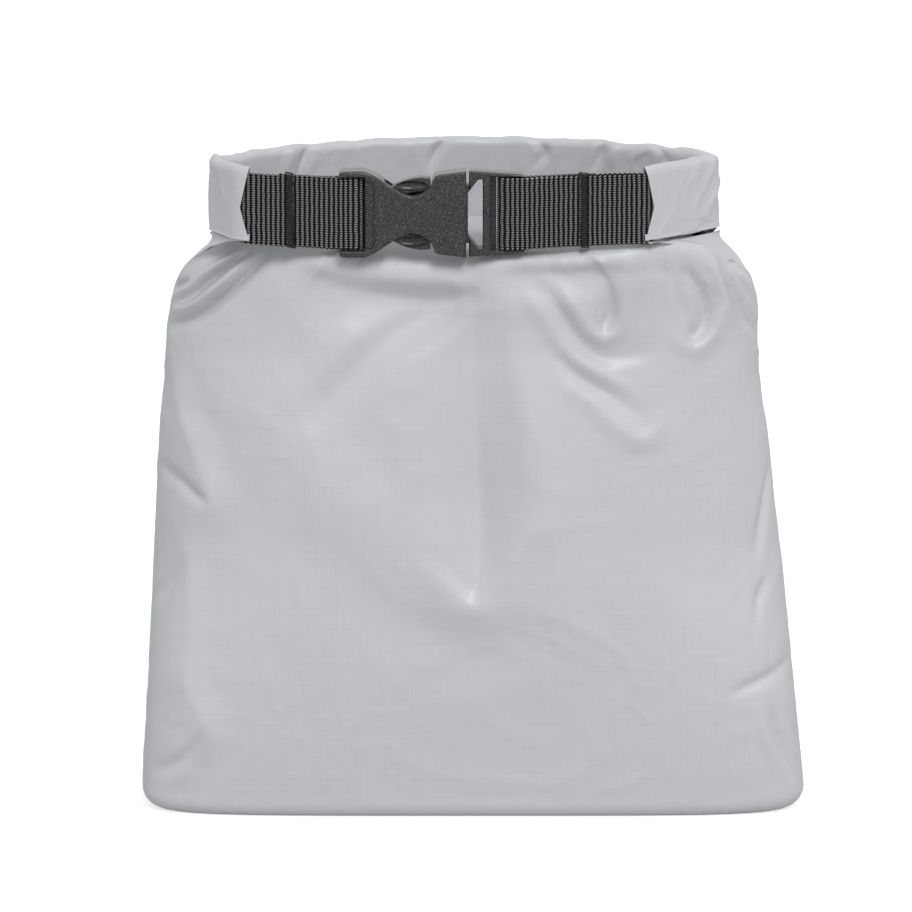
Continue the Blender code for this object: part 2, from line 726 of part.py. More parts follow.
def socket_outline():
    """The socket's face: rails and hump at the left, a narrow waist and a wide mouth."""
    places = (SOCKET_LEFT_X, SOCKET_LEFT_X + HUMP_END, SOCKET_BAR_X, SOCKET_BODY_X - HUMP_REACH)
    side = [(x, RAIL_OUTER - drop) for x, drop in zip(places, HUMP_DROPS)]
    side.append((SOCKET_BODY_X + BODY_STEP[0], RAIL_INNER - BODY_STEP[1]))
    side += [(blend(SOCKET_BODY_X, WAIST_X, share), height) for share, height in WAIST_FALL]
    side.append((WAIST_X, WAIST_HALF_HEIGHT))
    side += [(blend(WAIST_X, LATCH_WALL_X, share), WAIST_HALF_HEIGHT + rise) for share, rise in WAIST_RISE]
    mouth = [(LATCH_WALL_X + step, RAIL_OUTER - drop) for step, drop in MOUTH_STEPS]
    mouth.append((SOCKET_MOUTH_X, RAIL_OUTER))
    return mirrored(np.vstack([smooth_through(side, CURVE_STEPS), mouth]))


def build_socket(pivot):
    """The buckle's socket: two faces, a mouth with latch walls, and a bar between two rails."""
    body = plate("buckle_socket", socket_outline(), SOCKET_THICKNESS / 2, EDGE_BREAK, BLACK_PLASTIC, pivot)
    past = 2 * RAIL_OUTER
    slot = [(SOCKET_LEFT_X - past, RAIL_INNER), (SOCKET_BAR_X + LOOP_RADIUS, RAIL_INNER),
            (SOCKET_BODY_X, RAIL_INNER - RAIL)]
    cavity = [(CAVITY_LEFT_X + step, NECK_HALF_HEIGHT * share) for step, share in CAVITY_STEPS]
    cavity += [(CAVITY_LEFT_X + SIDE_OPENING, past), (LATCH_WALL_X, past), (LATCH_WALL_X, MOUTH_HALF_HEIGHT),
               (SOCKET_MOUTH_X + past, MOUTH_HALF_HEIGHT)]
    cuts = [plate("strap_slot", mirrored(slot), SOCKET_THICKNESS, 0, BLACK_PLASTIC),
            plate("prong_cavity", mirrored(cavity), CAVITY_HALF_DEPTH, 0, BLACK_PLASTIC)]
    combine(body, cuts, "DIFFERENCE")
    bar = upright_bar("bar", SOCKET_BAR_X, blend(RAIL_INNER, RAIL_OUTER, 0.5), None)
    combine(body, [bar], "UNION")


def build_plug(pivot):
    """The buckle's plug: a frame with a bar, and the neck and guide that enter the socket."""
    half = PLUG_THICKNESS / 2
    end_x, end_drop = PLUG_END_ROUND
    outline = [(PLUG_LEFT_X, RAIL_OUTER), (PLUG_RIGHT_X - end_x, RAIL_OUTER - PLUG_TAPER),
               (PLUG_RIGHT_X, RAIL_OUTER - PLUG_TAPER - end_drop)]
    body = plate("buckle_plug", mirrored(outline), half, EDGE_BREAK, BLACK_PLASTIC, pivot)
    neck = [(NECK_LEFT_X, NECK_HALF_HEIGHT), (WINDOW_RIGHT_X, NECK_HALF_HEIGHT)]
    guide = [(NECK_LEFT_X - GUIDE_LENGTH, GUIDE_HALF_HEIGHT), (NECK_LEFT_X + GUIDE_ROOT, GUIDE_HALF_HEIGHT)]
    added = [plate("neck", mirrored(neck), PRONG_HALF_DEPTH, 0, BLACK_PLASTIC),
             plate("guide", mirrored(guide), PRONG_HALF_DEPTH - CLEARANCE, 0, BLACK_PLASTIC)]
    combine(body, added, "UNION")
    top = RAIL_INNER - WINDOW_RAIL_EXTRA
    window = [(WINDOW_LEFT_X, top - WINDOW_CHAMFER[1]), (WINDOW_LEFT_X + WINDOW_CHAMFER[0], top),
              (WINDOW_RIGHT_X, top)]
    slot = [(WINDOW_RIGHT_X + CROSSBAR, RAIL_INNER), (PLUG_RIGHT_X + 2 * RAIL_OUTER, RAIL_INNER)]
    cuts = [plate("window", mirrored(window), 2 * half, 0, BLACK_PLASTIC),
            plate("strap_slot", mirrored(slot), 2 * half, 0, BLACK_PLASTIC)]
    combine(body, cuts, "DIFFERENCE")
    bar = upright_bar("bar", PLUG_BAR_X, RAIL_INNER + (RAIL - PLUG_TAPER) / 2, None)
    combine(body, [bar], "UNION")


def build_prong(name, side, pivot):
    """A sprung prong: a slim arm with a wide pad, whose shoulder catches behind the latch wall."""
    catch = MOUTH_HALF_HEIGHT + PAD_CATCH
    shoulder_x = LATCH_WALL_X - SLIDING_CLEARANCE
    tip_x = PRONG_ROOT_X - PRONG_REACH
    under_share, under_drop = PRONG_UNDERSIDE
    outline = [(PRONG_ROOT_X, NECK_HALF_HEIGHT), (shoulder_x, NECK_HALF_HEIGHT), (shoulder_x, catch)]
    outline += [(blend(shoulder_x, tip_x, share), catch + rise) for share, rise in PRONG_SHOULDER]
    outline += [(tip_x + step, catch - drop) for step, drop in PRONG_TIP]
    outline += [(blend(shoulder_x, tip_x, under_share), catch - under_drop),
                (blend(shoulder_x, tip_x, PRONG_PAD_START), PRONG_HINGE_HEIGHT),
                (PRONG_ROOT_X, PRONG_HINGE_HEIGHT)]
    plate(name, np.array(outline) * [1, side], PRONG_HALF_DEPTH, 0, BLACK_PLASTIC, pivot)


# ---------------------------------------------------------------- assembly

def add_pivot(name, location):
    """An empty on a joint's axis, which carries the pieces that turn about it."""
    empty = bpy.data.objects.new(name, None)
    empty.location = location
    bpy.context.scene.collection.objects.link(empty)
    return empty


def clear_scene():
    """Removes whatever the scene holds."""
    for thing in list(bpy.data.objects):
        bpy.data.objects.remove(thing)


def build_bag():
    """The body of the bag and the back of its rolled mouth, which stand still."""
    build_panel("front_panel", True)
    build_panel("back_panel", False)
    build_base_panel()
    build_base_seam_tape()
    build_side_seam_tape("left_side_seam_tape", -1)
    build_side_seam_tape("right_side_seam_tape", 1)
    build_rolled_mouth_back()
    build_rim_webbing()


def build_closure():
    """The two arms of the roll with their straps, and the buckle between them."""
    left_arm = add_pivot("left_arm_axis", (*LEFT_CORNER, ROLL_CENTRE_HEIGHT))
    right_arm = add_pivot("right_arm_axis", (*RIGHT_CORNER, ROLL_CENTRE_HEIGHT))
    for side, word, pivot in ((-1, "left", left_arm), (1, "right", right_arm)):
        build_rolled_mouth_arm(f"rolled_mouth_{word}", side, pivot)
        build_webbing(f"{word}_webbing", side, pivot)
        build_bartack(f"{word}_bartack", side, pivot)
    build_socket(add_pivot("socket_axis", (SOCKET_BAR_X, STRAP_PLANE_Y, BUCKLE_HEIGHT)))
    build_plug(add_pivot("plug_axis", (PLUG_BAR_X, STRAP_PLANE_Y, BUCKLE_HEIGHT)))
    for side, word in ((1, "upper"), (-1, "lower")):
        hinge = (PRONG_ROOT_X, STRAP_PLANE_Y, BUCKLE_HEIGHT + side * PRONG_HINGE_HEIGHT)
        build_prong(f"{word}_prong", side, add_pivot(f"{word}_prong_axis", hinge))


clear_scene()
build_bag()
build_closure()
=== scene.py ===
"""Dresses a roll-top dry bag: coated ripstop cloth, ribbed webbing, sewn tacks and a moulded buckle.

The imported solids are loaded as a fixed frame, and every visible piece is built over them in the same
metres: X runs to the right, the front looks towards -Y and Z is up. Lengths in this file are written
in millimetres and turned into metres by MM where a mesh is made.
"""

import logging
import math
from dataclasses import dataclass, field
from enum import Enum

import bpy
import numpy as np
from mathutils import Matrix, Vector


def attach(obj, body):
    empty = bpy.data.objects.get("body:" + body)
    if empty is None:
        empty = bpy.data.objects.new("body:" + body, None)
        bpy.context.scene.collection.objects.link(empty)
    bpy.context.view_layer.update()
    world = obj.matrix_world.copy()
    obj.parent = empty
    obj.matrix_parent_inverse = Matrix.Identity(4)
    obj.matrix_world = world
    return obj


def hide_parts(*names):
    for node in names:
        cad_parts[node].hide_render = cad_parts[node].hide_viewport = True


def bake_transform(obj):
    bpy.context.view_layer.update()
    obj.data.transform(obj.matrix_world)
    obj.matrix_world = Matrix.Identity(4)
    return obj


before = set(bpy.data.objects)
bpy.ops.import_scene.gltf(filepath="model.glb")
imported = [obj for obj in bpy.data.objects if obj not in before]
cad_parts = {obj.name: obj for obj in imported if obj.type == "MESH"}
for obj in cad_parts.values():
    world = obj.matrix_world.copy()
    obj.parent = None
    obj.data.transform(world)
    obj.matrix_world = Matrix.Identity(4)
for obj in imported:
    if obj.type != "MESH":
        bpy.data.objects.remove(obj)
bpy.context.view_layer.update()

LOG = logging.getLogger("dry_bag")
MM = 0.001
CORD_UPRIGHT = (0.12, 0.97, 0.21)

Array = np.ndarray
Piece = bpy.types.Object
Span = tuple[float, float]


# ---- lines

def smooth_step(values: Array, start: float, end: float) -> Array:
    """Rises from 0 at the start to 1 at the end: 3t^2 - 2t^3 of the clipped share t."""
    share = np.clip((values - start) / (end - start), 0, 1)
    return share * share * (3 - 2 * share)


def window(values: Array, rise: Span, fall: Span) -> Array:
    """Rises from 0 to 1 across the first span and falls back to 0 across the second."""
    return smooth_step(values, *rise) * (1 - smooth_step(values, *fall))


def mix(start: Array | float, end: Array | float, share: Array | float) -> Array | float:
    """The value a share of the way from start to end."""
    return start + (end - start) * share


def unit(vectors: Array) -> Array:
    """The vectors of the last axis at length 1."""
    return vectors / np.maximum(np.linalg.norm(vectors, axis=-1, keepdims=True), 1e-12)


def stations(points: Array) -> Array:
    """The distance of each point of a line from its start."""
    return np.concatenate([[0.0], np.cumsum(np.linalg.norm(np.diff(points, axis=0), axis=1))])


def along_line(points: Array, places: Array, values: Array | None = None) -> Array:
    """Points, or values kept at the points, at given distances along a line.

    Args:
        points: the line's points, one row each.
        places: distances from its start.
        values: what to read instead of the points, one row for each of them.

    Returns:
        One row for each place.
    """
    reached = stations(points)
    columns = (points if values is None else values).T
    return np.stack([np.interp(places, reached, column) for column in columns], axis=1)


def evenly(line: Array, count: int, values: Array | None = None) -> Array:
    """Points, or values kept at the points, at even distances along a whole line."""
    return along_line(line, np.linspace(0, stations(line)[-1], count), values)


def smooth_line(points: Array, steps: int) -> Array:
    """A line through the points by Catmull-Rom spans.

    Each span is 0.5 (2b + (c - a)t + (2a - 5b + 4c - d)t^2 + (3b - a - 3c + d)t^3) for its neighbours
    a, b, c and d, so every column of values is carried smoothly from point to point.

    Args:
        points: one row for each point, with any number of columns.
        steps: the pieces that each span is cut into.

    Returns:
        The points of the smooth line.
    """
    padded = np.vstack([2 * points[0] - points[1], points, 2 * points[-1] - points[-2]])
    a, b, c, d = (padded[k:len(padded) - 3 + k, None] for k in range(4))
    t = np.linspace(0, 1, steps, endpoint=False)[None, :, None]
    spans = 0.5 * (2 * b + (c - a) * t + (2 * a - 5 * b + 4 * c - d) * t ** 2
                   + (3 * b - a - 3 * c + d) * t ** 3)
    return np.vstack([spans.reshape(-1, points.shape[1]), points[-1:]])


def left_normals(line: Array) -> Array:
    """Unit normals of a plan line, on its left-hand side."""
    ahead = unit(np.gradient(line, axis=0))
    return np.stack([-ahead[:, 1], ahead[:, 0]], axis=1)


def circle(count: int) -> Array:
    """Points of a circle of radius 1, one row each."""
    turn = np.linspace(0, 2 * math.pi, count, endpoint=False)
    return np.stack([np.cos(turn), np.sin(turn)], axis=1)


def round_corners(points: Array, radii: list[float], steps: int) -> Array:
    """A polyline with its inner points rounded by arcs.

    Args:
        points: the corners, one row each.
        radii: the radius at each inner point; 0 keeps it sharp.
        steps: the pieces of each arc.

    Returns:
        The points of the rounded line.
    """
    line = [points[0]]
    for before, corner, after, radius in zip(points, points[1:], points[2:], radii):
        back, ahead = unit(before - corner), unit(after - corner)
        if radius == 0:
            line.append(corner)
            continue
        half = math.acos(float(np.clip(back @ ahead, -1, 1))) / 2
        reach = radius / math.tan(half)
        centre = corner + unit(back + ahead) * radius / math.sin(half)
        chord = mix(corner + back * reach, corner + ahead * reach, np.linspace(0, 1, steps + 1)[:, None])
        line.extend(centre + unit(chord - centre) * radius)
    line.append(points[-1])
    return np.array(line)


# ---- surfaces and meshes

def grid_normals(grid: Array, closed: bool = False) -> Array:
    """Unit normals of a grid of points: the cross product of its two directions.

    Args:
        grid: points as rows by columns by 3.
        closed: whether the last column meets the first.

    Returns:
        Normals in the same layout.
    """
    padded = np.concatenate([grid[:, -1:], grid, grid[:, :1]], axis=1) if closed else grid
    normals = unit(np.cross(np.gradient(padded, axis=1), np.gradient(padded, axis=0)))
    return normals[:, 1:-1] if closed else normals


def grid_faces(rows: int, columns: int, closed: bool = False) -> Array:
    """Quads of a grid whose points are numbered row by row.

    Args:
        rows: the grid's rows of points.
        columns: its columns of points.
        closed: whether the last column meets the first.

    Returns:
        The four corners of each quad, laid out as rows by columns by 4.
    """
    index = np.arange(rows * columns).reshape(rows, columns)
    if closed:
        index = np.concatenate([index, index[:, :1]], axis=1)
    return np.stack([index[:-1, :-1], index[:-1, 1:], index[1:, 1:], index[1:, :-1]], axis=-1)


def border_edges(faces: Array) -> Array:
    """The edges that only one face of a set of quads has.

    Args:
        faces: the corners of each quad.

    Returns:
        The two ends of each such edge, in its face's direction.
    """
    edges = np.stack([faces, np.roll(faces, -1, axis=1)], axis=-1).reshape(-1, 2)
    _, first, counts = np.unique(np.sort(edges, axis=1), axis=0, return_index=True, return_counts=True)
    return edges[first[counts == 1]]


def add_object(name: str, data: bpy.types.ID) -> Piece:
    """A new object in the scene that shows a mesh, a light or a camera.

    Args:
        name: the object's name.
        data: what it shows.

    Returns:
        The object.
    """
    thing = bpy.data.objects.new(name, data)
    bpy.context.scene.collection.objects.link(thing)
    return thing


def make_mesh(name: str, points: Array, faces: list[list[int]], places: Array | None = None,
              normals: Array | None = None) -> Piece:
    """An object at the origin from points in millimetres.

    Args:
        name: the piece's name.
        points: one row for each vertex.
        faces: the vertices of each face.
        places: each vertex's place on the cloth in millimetres, kept in metres as the UV map "Cloth".
        normals: one normal for each vertex, where shading has to run on over a cut.

    Returns:
        The new object.
    """
    mesh = bpy.data.meshes.new(name)
    mesh.from_pydata((points * MM).tolist(), [], faces)
    mesh.shade_smooth()
    corner = np.empty(len(mesh.loops), np.int64)
    mesh.loops.foreach_get("vertex_index", corner)
    if places is not None:
        spread = (places * MM)[corner].astype(np.float32)
        mesh.uv_layers.new(name="Cloth").uv.foreach_set("vector", spread.ravel())
    if normals is not None:
        mesh.normals_split_custom_set(normals[corner])
    return add_object(name, mesh)


def make_shell(name: str, outer: Array, normals: Array, faces: Array, thickness: float,
               places: Array) -> Piece:
    """A thin closed shell from some faces of a surface: the faces, the same ones further in, and a rim.

    Args:
        name: the piece's name.
        outer: the whole surface's points, one row each.
        normals: its unit normals, which keep the shading whole where it is cut into pieces.
        faces: the quads of this piece.
        thickness: how far in the inner side lies.
        places: the points' places on the cloth.

    Returns:
        The new object.
    """
    used, compact = np.unique(faces, return_inverse=True)
    compact = compact.reshape(faces.shape)
    count = len(used)
    rim = border_edges(compact)
    points = np.vstack([outer[used], outer[used] - normals[used] * thickness])
    sides = np.stack([rim[:, 1], rim[:, 0], rim[:, 0] + count, rim[:, 1] + count], axis=1)
    whole = np.vstack([compact, compact[:, ::-1] + count, sides])
    shading = np.vstack([normals[used], -normals[used]])
    return make_mesh(name, points, whole.tolist(), np.vstack([places[used]] * 2), shading)


def make_tube(name: str, grid: Array, places: Array | None = None) -> Piece:
    """A closed tube through rows of section points, capped at both ends by a flat face.

    Args:
        name: the piece's name.
        grid: the points as rows by columns by 3, whose quads already face outwards.
        places: the points' places on the cloth, in the same layout.

    Returns:
        The new object.
    """
    rows, columns = grid.shape[:2]
    last = (rows - 1) * columns
    faces = grid_faces(rows, columns, closed=True).reshape(-1, 4).tolist()
    faces += [list(range(columns))[::-1], list(range(last, last + columns))]
    return make_mesh(name, grid.reshape(-1, 3), faces, None if places is None else places.reshape(-1, 2))


def make_cord(name: str, path: Array, radius: float, sides: int) -> Piece:
    """A closed round cord: a circle carried round a closed path, square to its direction.

    Args:
        name: the piece's name.
        path: the points of the path.
        radius: the cord's radius.
        sides: the sides of its section.

    Returns:
        The new object.
    """
    ahead = unit(np.roll(path, -1, axis=0) - np.roll(path, 1, axis=0))
    across = unit(np.cross(ahead, CORD_UPRIGHT))
    turn = circle(sides)[None, :, :, None]
    ring = turn[:, :, 0] * across[:, None] + turn[:, :, 1] * np.cross(ahead, across)[:, None]
    faces = grid_faces(len(path) + 1, sides, closed=True).reshape(-1, 4) % (len(path) * sides)
    return make_mesh(name, (path[:, None] + ring * radius).reshape(-1, 3), faces[:, ::-1].tolist())


# ---- shader graphs

Socket = bpy.types.NodeSocket
Value = float | tuple | Socket
Inputs = dict[str | int, Value]


class Weave(Enum):
    """The patterns that are node groups."""

    RIPSTOP = "Ripstop"
    WEBBING = "Webbing weave"
    GRAIN = "Grain"


@dataclass
class Graph:
    """Adds nodes to one node tree and links what they are given."""

    tree: bpy.types.NodeTree

    def feed(self, node: bpy.types.Node, inputs: Inputs) -> None:
        """Links or sets a node's inputs.

        Args:
            node: the node.
            inputs: a socket to link, or a plain value to set, for each input by name or number.
        """
        for name, value in inputs.items():
            if isinstance(value, Socket):
                self.tree.links.new(value, node.inputs[name])
            else:
                node.inputs[name].default_value = value

    def add(self, kind: str, inputs: Inputs | None = None, **settings: object) -> bpy.types.Node:
        """Adds a node.

        Args:
            kind: its type, without the leading ShaderNode.
            inputs: what its inputs are linked or set to.
            settings: the node's own settings.

        Returns:
            The node.
        """
        node = self.tree.nodes.new(f"ShaderNode{kind}")
        for name, value in settings.items():
            setattr(node, name, value)
        self.feed(node, inputs or {})
        return node

    def maths(self, operation: str, *values: Value) -> Socket:
        """The result of a Math node."""
        return self.add("Math", dict(enumerate(values)), operation=operation).outputs[0]

    def plus(self, first: Value, second: Value) -> Socket:
        """The sum of two values."""
        return self.maths("ADD", first, second)

    def times(self, first: Value, second: Value) -> Socket:
        """The product of two values."""
        return self.maths("MULTIPLY", first, second)

    def scaled(self, value: Value, scale: float, offset: Value) -> Socket:
        """The value times the scale, plus the offset."""
        return self.maths("MULTIPLY_ADD", value, scale, offset)

    def centred(self, value: Value) -> Socket:
        """The value less a half."""
        return self.maths("SUBTRACT", value, 0.5)

    def ripple(self, turns: Value) -> Socket:
        """|sin(pi turns)|: one arch from 0 to 1 and back for each turn."""
        return self.maths("ABSOLUTE", self.maths("SINE", self.times(turns, math.pi)))

    def ramp(self, value: Value, low: float, high: float, start: Value, end: Value) -> Socket:
        """A smooth change from start to end while the value goes from low to high."""
        inputs = {"Value": value, "From Min": low, "From Max": high, "To Min": start, "To Max": end}
        return self.add("MapRange", inputs, interpolation_type="SMOOTHSTEP").outputs[0]

    def noise(self, place: Socket, scale: tuple[float, float, float], detail: float) -> Socket:
        """Noise from 0 to 1, whose lumps are 1 / scale metres in size along each axis."""
        stretched = self.add("VectorMath", {0: place, 1: scale}, operation="MULTIPLY").outputs[0]
        return self.add("TexNoise", {"Vector": stretched, "Scale": 1.0, "Detail": detail}).outputs[0]

    def shade(self, colour: tuple[float, float, float], amount: Value) -> Socket:
        """A colour made lighter or darker: the colour times the amount."""
        return self.add("VectorMath", {0: colour, "Scale": amount}, operation="SCALE").outputs[0]

    def pattern(self, weave: Weave, place: Socket) -> bpy.types.NodeOutputs:
        """The outputs of a pattern's node group at a place."""
        return self.add("Group", {"Place": place}, node_tree=bpy.data.node_groups[weave.value]).outputs

    def cloth_place(self) -> Socket:
        """The place on the cloth, in metres."""
        return self.add("UVMap", uv_map="Cloth").outputs[0]

    def own_place(self) -> Socket:
        """The place in the object's own metres."""
        return self.add("TexCoord").outputs["Object"]


def new_material(name: str) -> tuple[bpy.types.Material, Graph]:
    """A material with nodes.

    Args:
        name: its name.

    Returns:
        The material and its graph.
    """
    material = bpy.data.materials.new(name)
    material.use_nodes = True
    return material, Graph(material.node_tree)


def new_group(weave: Weave, inputs: dict[str, float],
              outputs: tuple[str, ...]) -> tuple[Graph, dict[str, Socket]]:
    """A node group with its interface: a place, some values, and what it puts out.

    Args:
        weave: the pattern it draws.
        inputs: each value's default.
        outputs: the names of its outputs, all plain values.

    Returns:
        The graph to fill, and the group's inputs by name.
    """
    tree = bpy.data.node_groups.new(weave.value, "ShaderNodeTree")
    tree.interface.new_socket("Place", in_out="INPUT", socket_type="NodeSocketVector")
    for key, value in inputs.items():
        tree.interface.new_socket(key, in_out="INPUT", socket_type="NodeSocketFloat").default_value = value
    for key in outputs:
        tree.interface.new_socket(key, in_out="OUTPUT", socket_type="NodeSocketFloat")
    source = tree.nodes.new("NodeGroupInput")
    return Graph(tree), {key: source.outputs[key] for key in ("Place", *inputs)}


def close_group(graph: Graph, results: dict[str, Socket]) -> None:
    """Links a group's results to its outputs."""
    graph.feed(graph.tree.nodes.new("NodeGroupOutput"), results)


def ripstop_group() -> None:
    """Ripstop cloth: a square grid of thicker threads over a fine plain weave with uneven yarns.

    A thick thread lies where the distance to the nearest multiple of the pitch is under its width. The
    yarns' unevenness is noise drawn out a hundred times along each yarn.
    """
    graph, given = new_group(Weave.RIPSTOP, {"Pitch": 0.005, "Thread": 0.0004}, ("Grid", "Yarn", "Height"))
    place = given["Place"]
    moved = graph.scaled(graph.noise(place, (45, 45, 45), 2.0), 0.0011, -0.0005)
    half = graph.times(given["Pitch"], 0.5)
    split = graph.add("SeparateXYZ", {0: place})
    away = [graph.maths("PINGPONG", graph.plus(split.outputs[axis], moved), half) for axis in (0, 1)]
    lines = [graph.ramp(graph.maths("DIVIDE", far, given["Thread"]), 0.4, 1.0, 1.0, 0.0) for far in away]
    grid = graph.maths("MAXIMUM", *lines)
    yarns = graph.plus(graph.noise(place, (2400, 28, 1), 2.0), graph.noise(place, (28, 2400, 1), 2.0))
    yarn = graph.times(yarns, 0.5)
    close_group(graph, {"Grid": grid, "Yarn": yarn, "Height": graph.plus(graph.times(grid, 0.2), yarn)})


def webbing_group() -> None:
    """Ribbed webbing: rows of short picks that cross each rib, and a dark groove between two ribs.

    Along the strap the rib is |sin| of the distance over the pitch. Across it each pick is |sin| over
    the pick's own pitch, shifted by a part of a pick from rib to rib.
    """
    graph, given = new_group(Weave.WEBBING, {"Rib": 0.00166, "Pick": 0.0008}, ("Rib", "Pick", "Height"))
    split = graph.add("SeparateXYZ", {0: given["Place"]})
    drift = graph.noise(given["Place"], (150, 260, 1), 2.0)
    turn = graph.maths("DIVIDE", split.outputs[0], given["Rib"])
    turn = graph.plus(turn, graph.times(graph.centred(drift), 0.35))
    step = graph.times(graph.maths("FLOOR", turn), 0.37)
    cross = graph.plus(graph.maths("DIVIDE", split.outputs[1], given["Pick"]), step)
    rib, pick = graph.ripple(turn), graph.ripple(graph.plus(cross, graph.times(turn, 0.6)))
    height = graph.plus(graph.times(rib, 0.8), graph.times(pick, 0.45))
    close_group(graph, {"Rib": rib, "Pick": pick, "Height": height})


def grain_group() -> None:
    """Fine grain: two layers of noise, the finer one cut to leave separate specks, which on the plastic serve
    as painted glints.
    """
    graph, given = new_group(Weave.GRAIN, {"Size": 0.0004}, ("Speck", "Height"))
    scale = graph.maths("DIVIDE", 1.0, given["Size"])
    inputs = {"Vector": given["Place"], "Detail": 2.0}
    fine, coarse = (graph.add("TexNoise", inputs | {"Scale": size}).outputs[0]
                    for size in (scale, graph.times(scale, 0.3)))
    speck_and_glint = graph.ramp(fine, 0.5, 0.75, 0.0, 1.0)
    close_group(graph, {"Speck": speck_and_glint, "Height": graph.plus(fine, graph.times(coarse, 0.6))})


# ---- finishes

class Slot(Enum):
    """The record's material slots."""

    CLOTH = "ripstop_fabric"
    WEBBING = "webbing"
    THREAD = "thread"
    PLASTIC = "buckle_plastic"
    TAPE = "seam_tape"


COAT_ROUGHNESS = 0.16
BUMP_DISTANCE = 0.0002
Drawn = tuple[Socket, Socket, Socket]


@dataclass(frozen=True)
class Finish:
    """What every finish has: a colour, a roughness, and how much its relief shows."""

    name: str
    colour: tuple[float, float, float]
    roughness: float
    relief: float
    specular: float = 0.5
    coat: float = 0.0
    speck_and_glint: float = 2.2

    def material(self) -> bpy.types.Material:
        """Builds the material: its pattern drives the colour, the roughness and the relief.

        Returns:
            The material.
        """
        material, graph = new_material(self.name)
        colour, roughness, height = self.drawn(graph)
        bump = graph.add("Bump", {"Height": height, "Strength": self.relief, "Distance": BUMP_DISTANCE})
        graph.feed(graph.tree.nodes["Principled BSDF"], {
            "Specular IOR Level": self.specular, "Coat Weight": self.coat, "Coat Roughness": COAT_ROUGHNESS,
            "Base Color": colour, "Roughness": roughness, "Normal": bump.outputs[0]})
        return material

    def drawn(self, graph: Graph) -> Drawn:
        """The colour, roughness and height that a finish draws."""
        raise NotImplementedError


class ClothFinish(Finish):
    """Light-grey coated ripstop: grid, uneven yarns and a faint cloudiness."""

    def drawn(self, graph: Graph) -> Drawn:
        """The grid, the yarns and the cloud shift the tone by a few hundredths.

        Args:
            graph: the material's graph.

        Returns:
            The colour, the roughness and the height.
        """
        weave = graph.pattern(Weave.RIPSTOP, graph.cloth_place())
        cloud = graph.noise(graph.own_place(), (22, 22, 22), 3.0)
        tone = graph.scaled(graph.centred(weave["Yarn"]), 0.17, 1.0)
        tone = graph.scaled(weave["Grid"], -0.013, tone)
        tone = graph.scaled(graph.centred(cloud), 0.06, tone)
        roughness = graph.scaled(cloud, 0.12, self.roughness - 0.06)
        return graph.shade(self.colour, tone), roughness, weave["Height"]


class WebbingFinish(Finish):
    """Black ribbed webbing, with painted shade in its grooves and painted highlights on its picks."""

    def drawn(self, graph: Graph) -> Drawn:
        """Painted shade makes the grooves near black; painted highlights lighten the shoulders of the picks.

        Args:
            graph: the material's graph.

        Returns:
            The colour, the roughness and the height.
        """
        place = graph.cloth_place()
        weave = graph.pattern(Weave.WEBBING, place)
        fuzz = graph.noise(place, (5200, 5200, 1), 2.0)
        # painted shade: between the ribs the colour falls to 0.03 of itself
        groove_shade = graph.ramp(weave["Rib"], 0.45, 0.95, 0.03, 1.25)
        # painted highlights: on the picks' shoulders the colour rises up to 10.5 times
        pick = graph.ramp(weave["Pick"], 0.45, 0.95, 0.2, 10.5)
        tone = graph.times(graph.times(groove_shade, pick), graph.ramp(fuzz, 0.3, 0.75, 0.6, 1.6))
        roughness = graph.scaled(fuzz, 0.3, self.roughness - 0.15)
        return graph.shade(self.colour, tone), roughness, weave["Height"]


class GrainFinish(Finish):
    """A plain stuff with fine grain, such as moulded plastic, thread or tape; on the plastic the bright
    specks are painted glints.
    """

    def drawn(self, graph: Graph) -> Drawn:
        """Specks lighten the colour, as painted glints on the plastic, and broad wear makes the roughness
        uneven.

        Args:
            graph: the material's graph.

        Returns:
            The colour, the roughness and the height.
        """
        own = graph.own_place()
        grain = graph.pattern(Weave.GRAIN, own)
        # specks lighten the colour; on the plastic, at 6.5 times, they are painted glints for its sparkle
        tone = graph.scaled(grain["Speck"], self.speck_and_glint, 0.7)
        roughness = graph.scaled(graph.noise(own, (120, 120, 120), 3.0), 0.16, self.roughness - 0.08)
        return graph.shade(self.colour, tone), roughness, grain["Height"]


FINISHES = {
    Slot.CLOTH: ClothFinish("grey_ripstop", (0.555, 0.562, 0.588), 0.42, 0.20, 0.5),
    Slot.WEBBING: WebbingFinish("black_webbing", (0.022, 0.0215, 0.021), 0.62, 1.0, 0.1),
    Slot.THREAD: GrainFinish("black_thread", (0.016, 0.016, 0.016), 0.55, 0.6, 0.25),
    # the plastic's strong specks are painted glints
    Slot.PLASTIC: GrainFinish("black_acetal", (0.021, 0.021, 0.0214), 0.34, 1.4, 0.27, 0.5, 6.5),
    Slot.TAPE: GrainFinish("clear_tape", (0.60, 0.62, 0.64), 0.35, 0.2, speck_and_glint=0.3),
}


class Wardrobe:
    """Builds each finish's material once, and dresses and places pieces."""

    def __init__(self) -> None:
        """Builds the patterns, then the materials that use them."""
        ripstop_group()
        webbing_group()
        grain_group()
        self.materials = {slot: finish.material() for slot, finish in FINISHES.items()}

    def place(self, piece: Piece, slot: Slot, nodes: tuple[str, ...], body: str,
              planes: tuple[Vector, Vector] | None = None) -> None:
        """Dresses a piece, hides the nodes it replaces and lets it follow a body unless planes are given.

        Args:
            piece: the piece.
            slot: the material slot it is made of.
            nodes: the nodes it replaces.
            body: the body it follows.
            planes: an arm's planes, given for a piece that would bend; with them the piece is only fixed in
                place and follows no body.
        """
        piece.data.materials.clear()
        piece.data.materials.append(self.materials[slot])
        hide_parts(*nodes)
        if planes:
            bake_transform(piece)
        else:
            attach(piece, body)
        LOG.info("%s: %d faces", piece.name, len(piece.data.polygons))


@dataclass
class Assembly:
    """A group of pieces, and the wardrobe that dresses and places them."""

    wardrobe: Wardrobe

    def build(self) -> None:
        """Builds and places the pieces."""
        raise NotImplementedError


# ---- the bag's form

